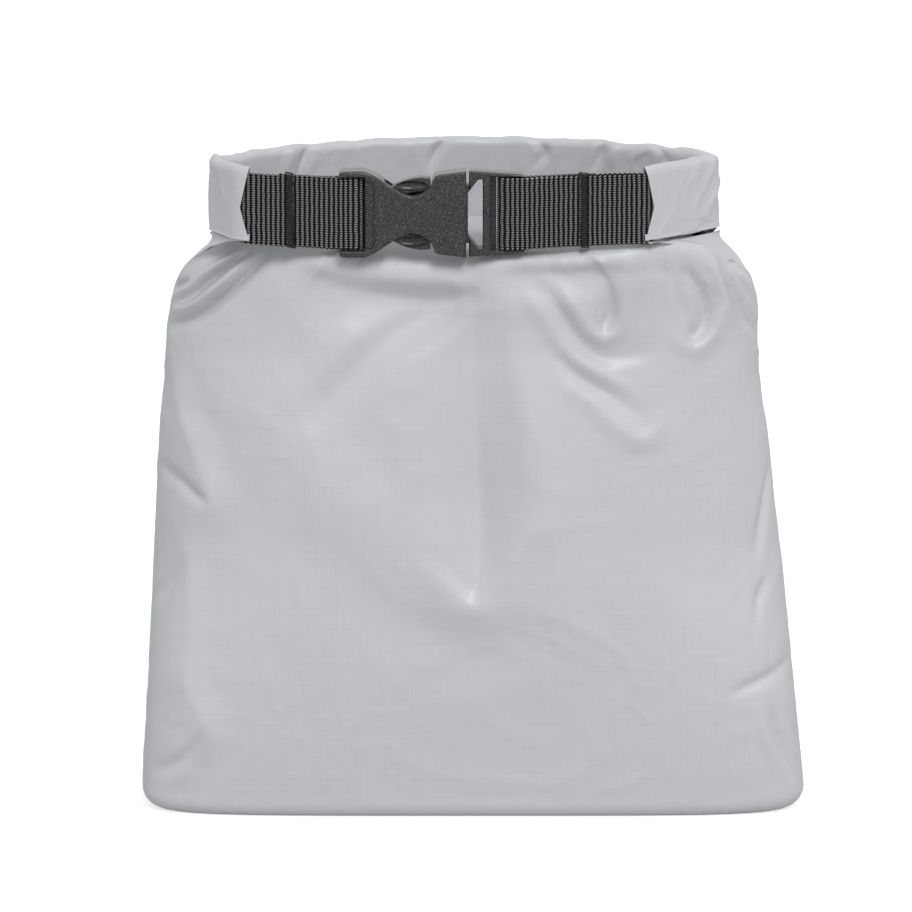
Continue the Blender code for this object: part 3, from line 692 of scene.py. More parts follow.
@dataclass(frozen=True)
class BodyForm:
    """The body's sizes in millimetres."""

    seam_height: float = 7.0
    shoulder_height: float = 165.0
    base_half: Span = (115.5, 29.0)
    shoulder_left: float = 107.3
    shoulder_right: float = 98.7
    right_pinch: float = -0.3
    shoulder_depth: float = 32.5
    belly: float = 6.3
    base_power: float = 5.0
    body_power: float = 2.3
    square_share: float = 0.6
    base_rounding: Span = (8.5, 5.0)
    seam_influence: float = 0.16
    seam_lift: float = 0.62
    seam_hang: float = 0.18
    wall_run: float = 3.0
    arm_swell: float = 10.0
    slope_reach: float = 68.0
    slope_span: Span = (0.1, 0.26)
    buckle_sink: float = 12.0
    sink_start: Span = (0.20, 0.30)
    sink_end: Span = (0.47, 0.56)
    back_swell: float = 3.3
    rim_corner: Span = (4.0, 0.8)
    left_arm_share: Span = (0.09, 0.12)
    right_arm_share: Span = (0.83, 0.86)
    left_rise: float = 2.6
    fill_heights: Span = (140.0, 177.0)
    left_profile: tuple[Span, ...] = (
        (165, 107.3), (181.7, 104.2), (188.9, 101.6), (192.4, 99.8), (196, 96.6), (199.5, 92.6),
        (202.3, 90.0))
    right_profile: tuple[Span, ...] = (
        (165, 99.9), (174, 99.2), (181.7, 97.9), (188.9, 95.4), (192.4, 93.4), (196, 90.4), (199.5, 87.0),
        (202.3, 85.0))


@dataclass(frozen=True)
class PanelForm:
    """How one panel leaves the shoulder and meets the roll.

    The fields are its side of the bag, how far inside the roll its top edge lies, how high that edge
    reaches into the roll in the middle and at the right arm, and, as shares of the shoulder's rise, how
    straight its column climbs from the shoulder and hangs from the roll.
    """

    side: int
    inset: float
    rise: float
    right_rise: float
    lift: float
    hang: float


@dataclass(frozen=True)
class RollForm:
    """The rolled mouth's sizes in millimetres."""

    centre_height: float = 216.8
    left_corner: Span = (-90.6, -12.0)
    right_corner: Span = (86.4, -7.0)
    sagitta: float = 34.5
    face_y: float = -34.65
    left_bend: float = -80.5
    right_bend: float = 60.0
    bend_radius: float = 9.0
    left_reach: float = 3.0
    right_reach: float = 1.7
    half_thickness: float = 2.75
    half_height: float = 14.5
    bottom: float = 202.3
    left_blend: float = 13.0
    right_blend: float = 15.0
    blend_way: Span = (0.30, -0.954)


BODY = BodyForm()
FRONT = PanelForm(-1, 1.2, 1.3, 2.6, 1.02, 0.03)
BACK = PanelForm(1, -1.2, 0.4, 1.4, 0.55, -0.3)
ROLL = RollForm()


def back_arc(steps: int) -> Array:
    """The outer face of the roll's back in plan: an arc through both corners with the given sagitta.

    Args:
        steps: the pieces of the arc.

    Returns:
        Its points, from left to right.
    """
    left, right = np.array(ROLL.left_corner), np.array(ROLL.right_corner)
    chord = right - left
    half = np.linalg.norm(chord) / 2
    radius = (half ** 2 + ROLL.sagitta ** 2) / (2 * ROLL.sagitta)
    rearward = np.array([-chord[1], chord[0]]) / (2 * half)
    centre = (left + right) / 2 - rearward * (radius - ROLL.sagitta)
    start, end = (math.atan2(*(corner - centre)[::-1]) for corner in (left, right))
    angles = np.linspace(start, end, steps + 1)
    return centre + radius * np.stack([np.cos(angles), np.sin(angles)], axis=1)


def ring_line(corner_radius: float, corner_shift: float) -> tuple[Array, float, float]:
    """The outer face of the whole roll in plan, from the left arm's tip to the right arm's tip.

    Args:
        corner_radius: how round both corners are.
        corner_shift: how far each corner moves out, to keep its outermost point in place.

    Returns:
        Points half a millimetre apart, and the distances of both corners along them.
    """
    arc = back_arc(24)
    arc[0, 0] -= corner_shift
    arc[-1, 0] += corner_shift
    left_bend, right_bend = np.array([(ROLL.left_bend, ROLL.face_y), (ROLL.right_bend, ROLL.face_y)])
    run = np.array([2.5 * ROLL.bend_radius, 0.0])
    points = np.vstack([left_bend + run, left_bend, arc, right_bend, right_bend - run])
    radii = [ROLL.bend_radius, corner_radius] + [0.0] * (len(arc) - 2) + [corner_radius, ROLL.bend_radius]
    line = round_corners(points, radii, 8)
    along = stations(line)
    start = along[1] + ROLL.bend_radius / 2 - ROLL.left_reach
    end = along[-2] - ROLL.bend_radius / 2 + ROLL.right_reach
    left, right = (along[np.argmin(np.linalg.norm(line - corner, axis=1))] - start for corner in arc[[0, -1]])
    return along_line(line, np.linspace(start, end, int((end - start) * 2) + 1)), left, right


@dataclass
class Body:
    """The body's cloth: one closed surface that is cut into a front, a back and a base.

    Columns run left to right over the front and back again over the back. Rows run from the middle of
    the base outwards, round its edge, up the walls and over the shoulder to the roll.
    """

    columns: int = 180
    base_rows: int = 14
    edge_rows: int = 7
    wall_rows: int = 122
    slope_rows: int = 52
    section_steps: int = 2401
    middle_share: float = 0.84
    soft_rows: Span = (-0.5, 0.1)
    soft_columns: Span = (18, 44)
    seam_passes: int = 320
    shoulder_passes: int = 30

    @property
    def seam_row(self) -> int:
        """The row of the base seam."""
        return self.base_rows + self.edge_rows

    @property
    def share(self) -> Array:
        """Each column of a panel as a share of the way from left to right."""
        return np.linspace(0, 1, self.columns + 1)

    def half_section(self, height: float, panel: PanelForm) -> Array:
        """A level half section at this panel's columns, left to right.

        |x / width|^n + |y / depth|^n = 1, whose power n falls from the base upwards; the columns lie
        at even distances along it.

        Args:
            height: the section's height.
            panel: the front or the back.

        Returns:
            One (x, y, height) for each column.
        """
        share = np.clip((height - BODY.seam_height) / (BODY.shoulder_height - BODY.seam_height), 0, 1)
        arch = 4 * share * (1 - share)
        left = mix(BODY.base_half[0], BODY.shoulder_left, share)
        right = mix(BODY.base_half[0], BODY.shoulder_right, share) - BODY.right_pinch * arch
        depth = mix(BODY.base_half[1], BODY.shoulder_depth, share) + BODY.belly * arch
        power = 2 / mix(BODY.base_power, BODY.body_power, smooth_step(share, 0, BODY.square_share))
        angles = np.linspace(math.pi, 0, self.section_steps)
        across = np.cos(angles)
        x = np.sign(across) * np.abs(across) ** power * np.where(across < 0, left, right)
        y = np.abs(np.sin(angles)) ** power * depth * panel.side
        line = evenly(np.stack([x, y], axis=1), self.columns + 1)
        return np.column_stack([line, np.full(len(line), height)])

    def rim(self, panel: PanelForm) -> tuple[Array, Array]:
        """A panel's top edge in the roll: further up along the arms, behind the webbing.

        Args:
            panel: the front or the back.

        Returns:
            One point for each column, and the unit way into the ring there.
        """
        line, _, _ = ring_line(*BODY.rim_corner)
        outward = left_normals(line)
        middle = line - outward * (ROLL.half_thickness + panel.inset)
        inward = unit(evenly(middle, self.columns + 1, -outward))
        left = 1 - smooth_step(self.share, *BODY.left_arm_share)
        right = smooth_step(self.share, *BODY.right_arm_share)
        rise = panel.rise + left * BODY.left_rise + right * panel.right_rise
        top = np.column_stack([evenly(middle, self.columns + 1), ROLL.bottom + rise])
        return top, np.column_stack([inward, np.zeros(len(inward))])

    def half_surface(self, panel: PanelForm) -> Array:
        """One panel from the base seam to the roll.

        The walls are level sections. Above the shoulder each column is a cubic curve that rises from
        the shoulder and comes in to the roll: the front from inside the ring, the back from below. At
        the side seams both follow the same curve to the arm's tip.

        Args:
            panel: the front or the back.

        Returns:
            Points as rows by columns by 3.
        """
        heights = np.linspace(BODY.seam_height, BODY.shoulder_height, self.wall_rows + 1)
        walls = np.array([self.half_section(height, panel) for height in heights])
        foot, below = walls[-1], walls[-3]
        top, inward = self.rim(panel)
        from_seam = np.minimum(self.share, 1 - self.share)[:, None]
        inner = smooth_step(from_seam, 0, BODY.seam_influence)
        rise = np.array([0, 0, ROLL.bottom - BODY.shoulder_height])
        lean = (foot - below) * [1, 1, 0] * BODY.wall_run
        lower = foot + lean + rise * mix(BODY.seam_lift, panel.lift, inner)
        swell = -BODY.back_swell
        if panel is FRONT:
            sunk = window(self.share, BODY.sink_start, BODY.sink_end)
            reach = BODY.slope_reach - BODY.buckle_sink * sunk[:, None]
            swell = mix(BODY.arm_swell, reach, smooth_step(from_seam, *BODY.slope_span))
        hang = mix((foot - top) * BODY.seam_hang, rise * panel.hang, inner)
        upper = top + hang + inward * swell * smooth_step(from_seam, 0, 0.05)
        t = np.linspace(0, 1, self.slope_rows + 1)[1:, None, None]
        slope = (foot * (1 - t) ** 3 + lower * 3 * (1 - t) ** 2 * t + upper * 3 * (1 - t) * t ** 2
                 + top * t ** 3)
        return np.concatenate([walls, slope])

    def base_surface(self, seam: Array) -> Array:
        """The base below the seam: a quarter ellipse round the edge, then rows in to the middle line.

        Args:
            seam: the points of the base seam.

        Returns:
            Points as rows by columns by 3, from the middle outwards.
        """
        turn = np.linspace(math.pi / 2, 0, self.edge_rows + 1)[:-1, None]
        rounding = 1 - np.array(BODY.base_rounding) / BODY.base_half
        share = np.linspace(0, 1, self.base_rows, endpoint=False)[:, None]
        shrink = np.vstack([np.column_stack([mix(self.middle_share, 1.0, share), share]) * rounding,
                            mix(1.0, rounding, 1 - np.cos(turn))])
        surface = np.zeros((self.seam_row, *seam.shape))
        surface[:, :, :2] = seam[None, :, :2] * shrink[:, None, :]
        surface[self.base_rows:, :, 2] = BODY.seam_height * (1 - np.sin(turn))
        return surface

    def surface(self) -> Array:
        """The whole closed surface, before any fold.

        Returns:
            Points as rows by columns by 3, from the base's middle up to the roll.
        """
        front, back = self.half_surface(FRONT), self.half_surface(BACK)
        front[:, [0, -1]] = (front[:, [0, -1]] + back[:, [0, -1]]) / 2
        walls = self.softened(np.concatenate([front, back[:, -2:0:-1]], axis=1), self.seam_passes)
        walls = self.softened(self.filled_shoulders(walls), self.shoulder_passes)
        return np.concatenate([self.base_surface(walls[0]), walls])

    def softened(self, walls: Array, passes: int) -> Array:
        """The walls with the crease along both shoulders' seams smoothed away.

        Each pass moves a point half way to the mean of its four neighbours, fully near a shoulder's seam
        and not at all on the rim, on the walls and in the panels' middles.

        Args:
            walls: the points above the base seam.
            passes: how often they are moved.

        Returns:
            The moved points.
        """
        rows, columns = walls.shape[:2]
        column = np.arange(columns, dtype=float)
        from_seam = np.minimum.reduce([column, np.abs(column - self.columns), columns - column])
        share = (np.arange(rows) - self.wall_rows) / self.slope_rows
        high = smooth_step(share, *self.soft_rows) * (share < 0.999)
        weight = (0.5 * high[:, None] * (1 - smooth_step(from_seam, *self.soft_columns)))[:, :, None]
        for _ in range(passes):
            mean = (np.roll(walls, 1, axis=1) + np.roll(walls, -1, axis=1)) / 4
            mean[1:-1] += (walls[:-2] + walls[2:]) / 4
            mean[[0, -1]] = walls[[0, -1]]
            walls = walls + (mean - walls) * weight
        return walls

    def filled_shoulders(self, walls: Array) -> Array:
        """The walls with both shoulders pushed out to their side profiles.

        At each height the outermost x is compared with the profile, and points are moved out by a share
        that falls to nothing at half that distance from the middle.

        Args:
            walls: the points above the base seam.

        Returns:
            The moved points.
        """
        filled, slope, z = walls.copy(), walls[self.wall_rows:], walls[..., 2]
        row = np.arange(len(slope))
        near = smooth_step(z, *BODY.fill_heights)
        for side, profile in ((-1, BODY.left_profile), (1, BODY.right_profile)):
            column = np.argmax(slope[..., 0] * side, axis=1)
            heights, reach = slope[row, column, 2], slope[row, column, 0] * side
            order = np.argsort(heights)
            outermost = np.interp(z, heights[order], reach[order])
            target = np.interp(z, *np.array(profile).T)
            share = smooth_step(walls[..., 0] * side / outermost, 0.5, 1.0) * near
            filled[..., 0] += side * np.maximum(target - outermost, -1.0) * share
        return filled

    def cloth_places(self, grid: Array) -> tuple[Array, Array]:
        """Each point's place on the cloth in millimetres, as seen from the front and from the back.

        Args:
            grid: the surface's points.

        Returns:
            Two layouts of (distance along the row, distance up): the first counts the row to the right
            from the front's middle, the second from the back's middle. Each jumps only on the far side.
        """
        steps = np.linalg.norm(np.diff(grid, axis=1, append=grid[:, :1]), axis=2)
        around = steps.sum(axis=1, keepdims=True)
        walked = np.concatenate([np.zeros((len(grid), 1)), np.cumsum(steps, axis=1)[:, :-1]], axis=1)
        rise = np.linalg.norm(np.diff(grid, axis=0), axis=2)
        up = np.concatenate([np.zeros((1, grid.shape[1])), np.cumsum(rise, axis=0)])
        up -= up[self.seam_row] - BODY.seam_height
        views = []
        for middle in (self.columns // 2, self.columns + self.columns // 2):
            along = walked - walked[:, [middle]]
            views.append(np.stack([along - around * np.round(along / around), up], axis=-1))
        return views[0], views[1]


# ---- folds

@dataclass(frozen=True)
class Fold:
    """One fold line on the cloth, in cloth millimetres: across from the middle, and up.

    Each station is (across, up, depth, left width, right width). A positive depth is a valley, a
    negative one a ridge; left and right are as seen when going along the line. The profile is
    crisp (1 - q)^2 + (1 - crisp)(1 - 3q^2 + 2q^3) at the share q of the width.
    """

    stations: tuple[tuple[float, float, float, float, float], ...]
    crisp: float = 0.5

    def depth_at(self, places: Array) -> Array:
        """The fold's depth at each place.

        Args:
            places: cloth places in millimetres, one row each.

        Returns:
            Depths in millimetres, 0 away from the fold.
        """
        line = smooth_line(np.array(self.stations, float), 6)
        start, ahead = line[:-1], np.diff(line, axis=0)
        reach = float(line[:, 3:].max())
        low, high = line[:, :2].min(axis=0) - reach, line[:, :2].max(axis=0) + reach
        near = np.flatnonzero(np.all((places > low) & (places < high), axis=1))
        away = places[near, None] - start[None, :, :2]
        share = np.sum(away * ahead[:, :2], axis=2) / np.maximum(np.sum(ahead[:, :2] ** 2, axis=1), 1e-9)
        values = start[None] + ahead[None] * np.clip(share, 0, 1)[:, :, None]
        offset = places[near, None] - values[:, :, :2]
        distance = np.linalg.norm(offset, axis=2)
        best, row = np.argmin(distance, axis=1), np.arange(len(near))
        values, offset, distance = values[row, best], offset[row, best], distance[row, best]
        step = ahead[best, :2]
        turned = step[:, 0] * offset[:, 1] - step[:, 1] * offset[:, 0]
        lefts = 0.5 + 0.5 * turned / np.maximum(np.linalg.norm(step, axis=1) * distance, 1e-9)
        width = mix(values[:, 4], values[:, 3], lefts)
        q = np.clip(distance / np.maximum(width, 0.1), 0, 1)
        profile = self.crisp * (1 - q) ** 2 + (1 - self.crisp) * (1 - q * q * (3 - 2 * q))
        depths = np.zeros(len(places))
        depths[near] = values[:, 2] * profile
        return depths


def waves(points: Array, size: float, count: int, seed: int) -> Array:
    """Smooth noise from about -1 to 1: a sum of seeded cosines whose lengths lie near the given size.

    Args:
        points: where to read it, one row each.
        size: the waves' mean length.
        count: how many cosines are summed.
        seed: the seed of their ways and lengths.

    Returns:
        One value for each point.
    """
    rng = np.random.default_rng(seed)
    ways = unit(rng.normal(size=(count, points.shape[1])))
    lengths = size * rng.uniform(0.6, 1.6, count)
    turns = points @ (ways * (2 * math.pi / lengths)[:, None]).T + rng.uniform(0, 2 * math.pi, count)
    return np.cos(turns).sum(axis=1) * math.sqrt(2 / count)


def crumple(points: Array, size: float, seed: int) -> Array:
    """Crumpled cloth, 0 to about 1: creases where smooth noise crosses zero, at three sizes.

    Args:
        points: where to read it, one row each.
        size: the largest creases' size.
        seed: the seed of the noise.

    Returns:
        One height for each point.
    """
    warp = np.stack([waves(points, size * 1.7, 9, seed + 50 + k) for k in range(points.shape[1])], axis=1)
    moved = points + warp * size * 0.3
    levels = enumerate(((1.0, 0.55), (0.5, 0.30), (0.26, 0.15)))
    return sum(weight * np.minimum(np.abs(waves(moved, size * scale, 12, seed + level)), 1.2)
               for level, (scale, weight) in levels)


FRONT_FOLDS: tuple[Fold, ...] = (
    # the middle valley, with the tilted lobe on its left and a steep wall on its right
    Fold(((1.8, 198.8, 0.4, 12, 14), (3.5, 185.6, 1.6, 14, 18), (4.9, 168.2, 3, 17, 22),
          (4.7, 150.8, 4.6, 18, 26), (4.7, 133.7, 6, 18, 27), (4.9, 115.9, 6.6, 16, 26),
          (4.7, 100.2, 5.2, 13, 20), (3.5, 88.5, 2.6, 12, 18), (2, 78.3, 0, 9, 13)), 0.5),
    # the lip where the middle valley ends
    Fold(((-18, 92.8, 0, 8, 14), (-9.5, 87.8, -1, 6, 16), (0.7, 79.5, -1.9, 5, 20),
          (8.4, 84.3, -1.9, 5, 20), (15.4, 93, -1.6, 6, 16), (21.9, 103.7, -1.4, 7, 12),
          (27.6, 114.4, 0, 8, 12)), 0.3),
    # the ridge right of the middle valley
    Fold(((15.2, 175.4, 0, 12, 8), (20, 157.6, -1.2, 18, 10), (24.1, 137.1, -2, 20, 12),
          (27.3, 112.5, -1.8, 20, 12), (30.5, 91.5, -0.6, 18, 12), (33.1, 73.6, 0, 14, 12)), 0.2),
    # the crest under the lobe
    Fold(((-89.5, 167.5, 0, 20, 20), (-82.9, 154.6, -1, 22, 26), (-73.2, 145.8, -1.4, 24, 28),
          (-56.8, 128.8, -1.6, 24, 28), (-34.7, 109, -1.5, 20, 26), (-13.1, 88.5, -0.6, 10, 20)), 0.1),
    # the soft band below the buckle
    Fold(((-9.3, 185.8, 0, 8, 8), (-13.2, 176.5, 1.4, 9, 9), (-28.8, 166.5, 2.2, 10, 10),
          (-43.9, 150.5, 1.3, 10, 10), (-52.9, 139.7, 0, 10, 10)), 0.0),
    # the swelling above the soft band
    Fold(((-18.4, 186.9, 0, 7, 7), (-34.9, 174.7, -0.9, 9, 9), (-51.5, 157.1, -0.8, 9, 9),
          (-60, 142.9, 0, 9, 9)), 0.0),
    # the hollow under the buckle
    Fold(((-62.5, 200.6, 0, 5, 8), (-50.7, 192.6, 2, 7, 16), (-38.2, 187.4, 4.2, 9, 22),
          (-21.5, 184.7, 6.8, 9.5, 23), (-7.9, 184.4, 6.6, 9.5, 17), (-0.8, 186.1, 3.4, 7, 8),
          (3.1, 190.4, 0, 5, 6)), 0.0),
    # the hollow under the right strap
    Fold(((6.8, 194.7, 0, 5, 8), (18.5, 194.2, 2.2, 6, 11), (32.3, 194.2, 2.6, 6, 11),
          (46.3, 195.8, 2, 6, 10), (59, 197.8, 0, 5, 8)), 0.0),
    # the gap under the back flap
    Fold(((-106.8, 186.3, 1.4, 2.8, 2.8), (-101.8, 187.8, 1.6, 2.8, 2.8), (-96.5, 190.3, 1.2, 2.6, 2.6),
          (-84.5, 202.8, 0, 2, 2)), 0.5),
    # the first rolled ridge of the left shoulder
    Fold(((-83.8, 204.4, 0, 2.5, 2.5), (-88.4, 197.2, -2, 3, 3), (-95.3, 191.5, -2.4, 3, 3),
          (-101.1, 185.5, -2, 3, 3), (-108.3, 179.8, -0.6, 3, 3)), 0.4),
    # the first crease of the left shoulder
    Fold(((-81, 203.3, 0, 3, 3), (-85.5, 195.9, 2.6, 3.2, 3.2), (-90.6, 189.9, 3.2, 3.4, 3.4),
          (-96.8, 183.8, 2.4, 3.4, 3.4), (-104.3, 179.4, 0.4, 3, 3)), 0.6),
    # the second rolled ridge of the left shoulder
    Fold(((-77.6, 201.9, 0, 3, 3.5), (-82.6, 192.6, -2.4, 3.4, 3.8), (-88.3, 186.9, -3, 3.8, 4),
          (-95.3, 181.2, -2.6, 4, 4), (-105.2, 176.9, -0.8, 4, 4)), 0.3),
    # the main crease of the left shoulder
    Fold(((-74.7, 204.9, 0.4, 4, 3), (-75.7, 197.4, 2.8, 5, 3), (-79.8, 190.4, 3.8, 5, 3.2),
          (-85.5, 184.8, 4.2, 5, 3.2), (-92.2, 178.8, 3.8, 4.6, 3.2), (-101.1, 174.2, 2.6, 4.2, 3),
          (-107.1, 172, 1.2, 4, 3)), 0.5),
    # the deep side of the middle dimple
    Fold(((41.1, 203, 0.3, 4, 8), (46.7, 195.9, 1.6, 4, 10), (50.7, 186.8, 2.6, 4, 11),
          (51.3, 179.5, 3, 3.8, 10), (48.6, 175.5, 2.1, 3.8, 8), (44.7, 177.1, 0.7, 4, 7),
          (40.3, 180.6, 0, 4, 7)), 0.3),
    # the rim of the middle dimple
    Fold(((19.8, 194.3, 0, 5, 5), (28, 192.4, -0.6, 5, 5), (33.5, 189, -1, 5, 4.5),
          (38.7, 183.3, -1.3, 5, 4.5), (43.4, 176.9, -1.4, 4.5, 4.5), (47.7, 173.2, -1.4, 4, 5),
          (52.1, 174.1, -1.1, 4, 6), (54.6, 179.1, -0.9, 4, 7), (54.4, 187.5, -0.6, 4, 8),
          (52.7, 200, 0, 4, 8)), 0.3),
    # the crease below the middle dimple
    Fold(((28.6, 189.5, 0, 3.5, 3.5), (34.1, 180.4, 1.6, 4, 4), (39, 173, 2.1, 4.5, 4),
          (44.2, 167.5, 2.3, 6, 4), (50.3, 164.8, 1.9, 9, 4), (58.9, 165.5, 1.2, 10, 4.5),
          (69.9, 167.3, 0, 9, 5)), 0.5),
    # the ridge below that crease
    Fold(((18.2, 190.7, 0, 5, 5), (25.7, 182.9, -0.9, 5, 5), (31, 174.7, -1.1, 4.5, 5),
          (37.9, 165.6, -1.2, 4.5, 5), (44.6, 161.4, -1.1, 4.5, 5), (52.1, 156.7, -0.8, 5, 5),
          (59, 151.5, 0, 5, 5)), 0.2),
    # the second crease below the middle dimple
    Fold(((32.2, 168.3, 0, 4, 4), (37, 161.6, 1.3, 4.5, 4.5), (43.4, 156.4, 1.9, 5, 4.5),
          (50.5, 152.2, 1.7, 6, 4.5), (57.4, 147.1, 1.1, 7, 4.5), (63.9, 143.3, 0, 6, 4)), 0.4),
    # the lowest ridge of the middle dimple
    Fold(((30.7, 158.6, 0, 5, 6), (37, 154.7, -0.7, 5, 7), (44.2, 149.5, -0.9, 5, 7),
          (51, 143.1, -1.1, 5, 7), (56.5, 138.3, -1.3, 5, 7), (62, 136.9, -1.3, 5, 7),
          (66.8, 139.4, -0.9, 5, 6), (72.1, 146.3, 0, 5, 6)), 0.3),
    # the deep side of the right dimple
    Fold(((74.1, 203.6, 0.4, 3, 6), (78.4, 194.5, 2.1, 3.2, 7), (83.7, 187.1, 2.8, 3.2, 8),
          (85.8, 180.6, 3.2, 3, 8), (84.9, 174.5, 3, 3, 7), (81.5, 171.5, 1.8, 3, 5)), 0.2),
    # the crease on the left of the right dimple
    Fold(((70.4, 206, 0.5, 4, 4), (71.2, 195.9, 1.8, 4, 4.5), (73.9, 189, 1.9, 4, 4.5),
          (76.6, 181.9, 1.7, 4, 4.5), (79.4, 173.8, 1, 3.6, 4), (81.5, 170.2, 0, 3, 3)), 0.25),
    # the rim of the right dimple
    Fold(((80.5, 208.7, 0, 5, 2.5), (84.9, 198.1, -0.9, 6, 3), (88.5, 191.4, -1.4, 7, 3),
          (90.7, 184.1, -1.5, 7, 3), (90, 176.8, -1.5, 7, 3), (87, 171.5, -1.5, 7, 3),
          (82, 168.1, -1.4, 7, 3), (75.6, 170.3, -1, 6, 3.5), (69.7, 176.6, 0, 5, 4)), 0.35),
    # the crease at the right corner
    Fold(((90.7, 200.5, 0.5, 3, 3), (91.3, 195.9, 1.9, 4.5, 3), (94.2, 189.1, 2.5, 5, 3),
          (98, 181.3, 2.3, 5, 3), (101.3, 175.8, 1.8, 4.5, 3), (108.2, 170.1, 0.5, 3, 3)), 0.4),
    # the ridge left of the corner's crease
    Fold(((88.3, 198.2, 0, 3, 4), (89.3, 194, -0.7, 3, 4), (91.9, 187.3, -0.7, 3, 4),
          (95.4, 179.1, -0.6, 3, 4), (99.9, 172.1, 0, 3, 4)), 0.3),
    # a fine wrinkle at the right corner
    Fold(((94.9, 197.7, 0, 2, 2), (97.7, 191.7, 0.7, 2, 2), (102.7, 185.1, 0.7, 2, 2),
          (108.7, 178.3, 0, 2, 2)), 0.5),
    # a second fine wrinkle at the right corner
    Fold(((95.9, 200.9, 0, 2.2, 2.2), (97.7, 195.9, 0.8, 2.4, 2.4), (102.9, 191.5, 0.8, 2.2, 2.2),
          (108.5, 188.1, 0, 2, 2)), 0.5),
    # the left edge's turned facet
    Fold(((-109.1, 169.1, 0, 10, 12), (-104.1, 157.9, -0.9, 10, 14), (-101.3, 144.8, -1.6, 11, 15),
          (-95.8, 131.3, -2.2, 12, 17), (-89.6, 115.1, -2.8, 13, 20), (-95.6, 105.3, -2.2, 12, 17),
          (-99.7, 95.3, -1.6, 11, 15), (-97.9, 80.9, -1.2, 10, 14), (-98, 63.6, -1.2, 10, 14),
          (-98.9, 48.8, -1.6, 11, 15), (-92.1, 32.3, -2.6, 13, 19), (-99.3, 22, -1.6, 11, 15),
          (-102, 9.2, 0, 10, 12)), 0.55),
    # the left edge's upper tip
    Fold(((-118.2, 122.7, 0, 5, 5), (-102.8, 119.3, 1.8, 5, 5), (-93.6, 114.3, 1.6, 4, 4),
          (-89, 112, 0, 3, 3)), 0.5),
    # the left edge's lower tip
    Fold(((-114.3, 14.3, 0, 5, 5), (-103.5, 18.8, 2, 5, 5), (-95.7, 26.9, 1.8, 4.5, 4.5),
          (-91.2, 33.1, 0, 3, 3)), 0.5),
    # a pucker on the left side
    Fold(((-124, 72.2, 0, 4, 5), (-112.3, 78.5, 1, 4, 5), (-103.2, 86.5, 1, 4, 5),
          (-98, 94.3, 0, 3, 4)), 0.5),
    # a pucker on the right side seam
    Fold(((118, 125.8, 0, 4, 5), (111.6, 113.8, 1.8, 4, 5), (105.7, 99.5, 1.6, 4, 5),
          (103.2, 90.5, 0, 3, 4)), 0.5),
    # a second pucker on the right side seam
    Fold(((110, 87.1, 0, 4, 4), (103.4, 77.9, 1.8, 4, 4), (101.3, 67.8, 0, 3, 3)), 0.5),
    # a third pucker on the right side seam
    Fold(((123, 55.8, 0, 4, 4), (102.3, 49.3, 1.8, 4, 4), (86.9, 44.3, 0, 3, 3)), 0.5),
    # a pucker by the right base corner
    Fold(((103.9, 42, 0, 4, 4), (107.6, 27.9, 1.8, 4, 4), (113.6, 13.4, 0.6, 3, 3)), 0.5),
    # a ridge by the right base corner
    Fold(((99.4, 42.4, 0, 4, 4), (102.7, 27.8, -1, 5, 4), (108.3, 12.7, 0, 4, 4)), 0.3),
    # the swelling over the base's right
    Fold(((17.8, 66.4, 0, 20, 20), (26.3, 77, -1.1, 24, 22), (35.3, 71.7, -0.9, 14, 22),
          (44.8, 52, 0, 10, 20)), 0.0),
    # the hollow below the crest
    Fold(((-51.1, 83.4, 0, 18, 18), (-30.6, 74.2, 1.1, 20, 22), (-9.7, 66.4, 1.4, 18, 22),
          (10.7, 56.1, 0.6, 16, 20), (24.2, 48.2, 0, 14, 16)), 0.0),
    # the swelling under the right arm
    Fold(((50, 203, 0, 5, 9), (60, 205, -3, 5, 11), (70, 206, -4.5, 5, 12), (80, 204, -4.5, 5, 12),
          (88, 201, -3, 5, 10), (95, 197, 0, 5, 8)), 0.0),
)

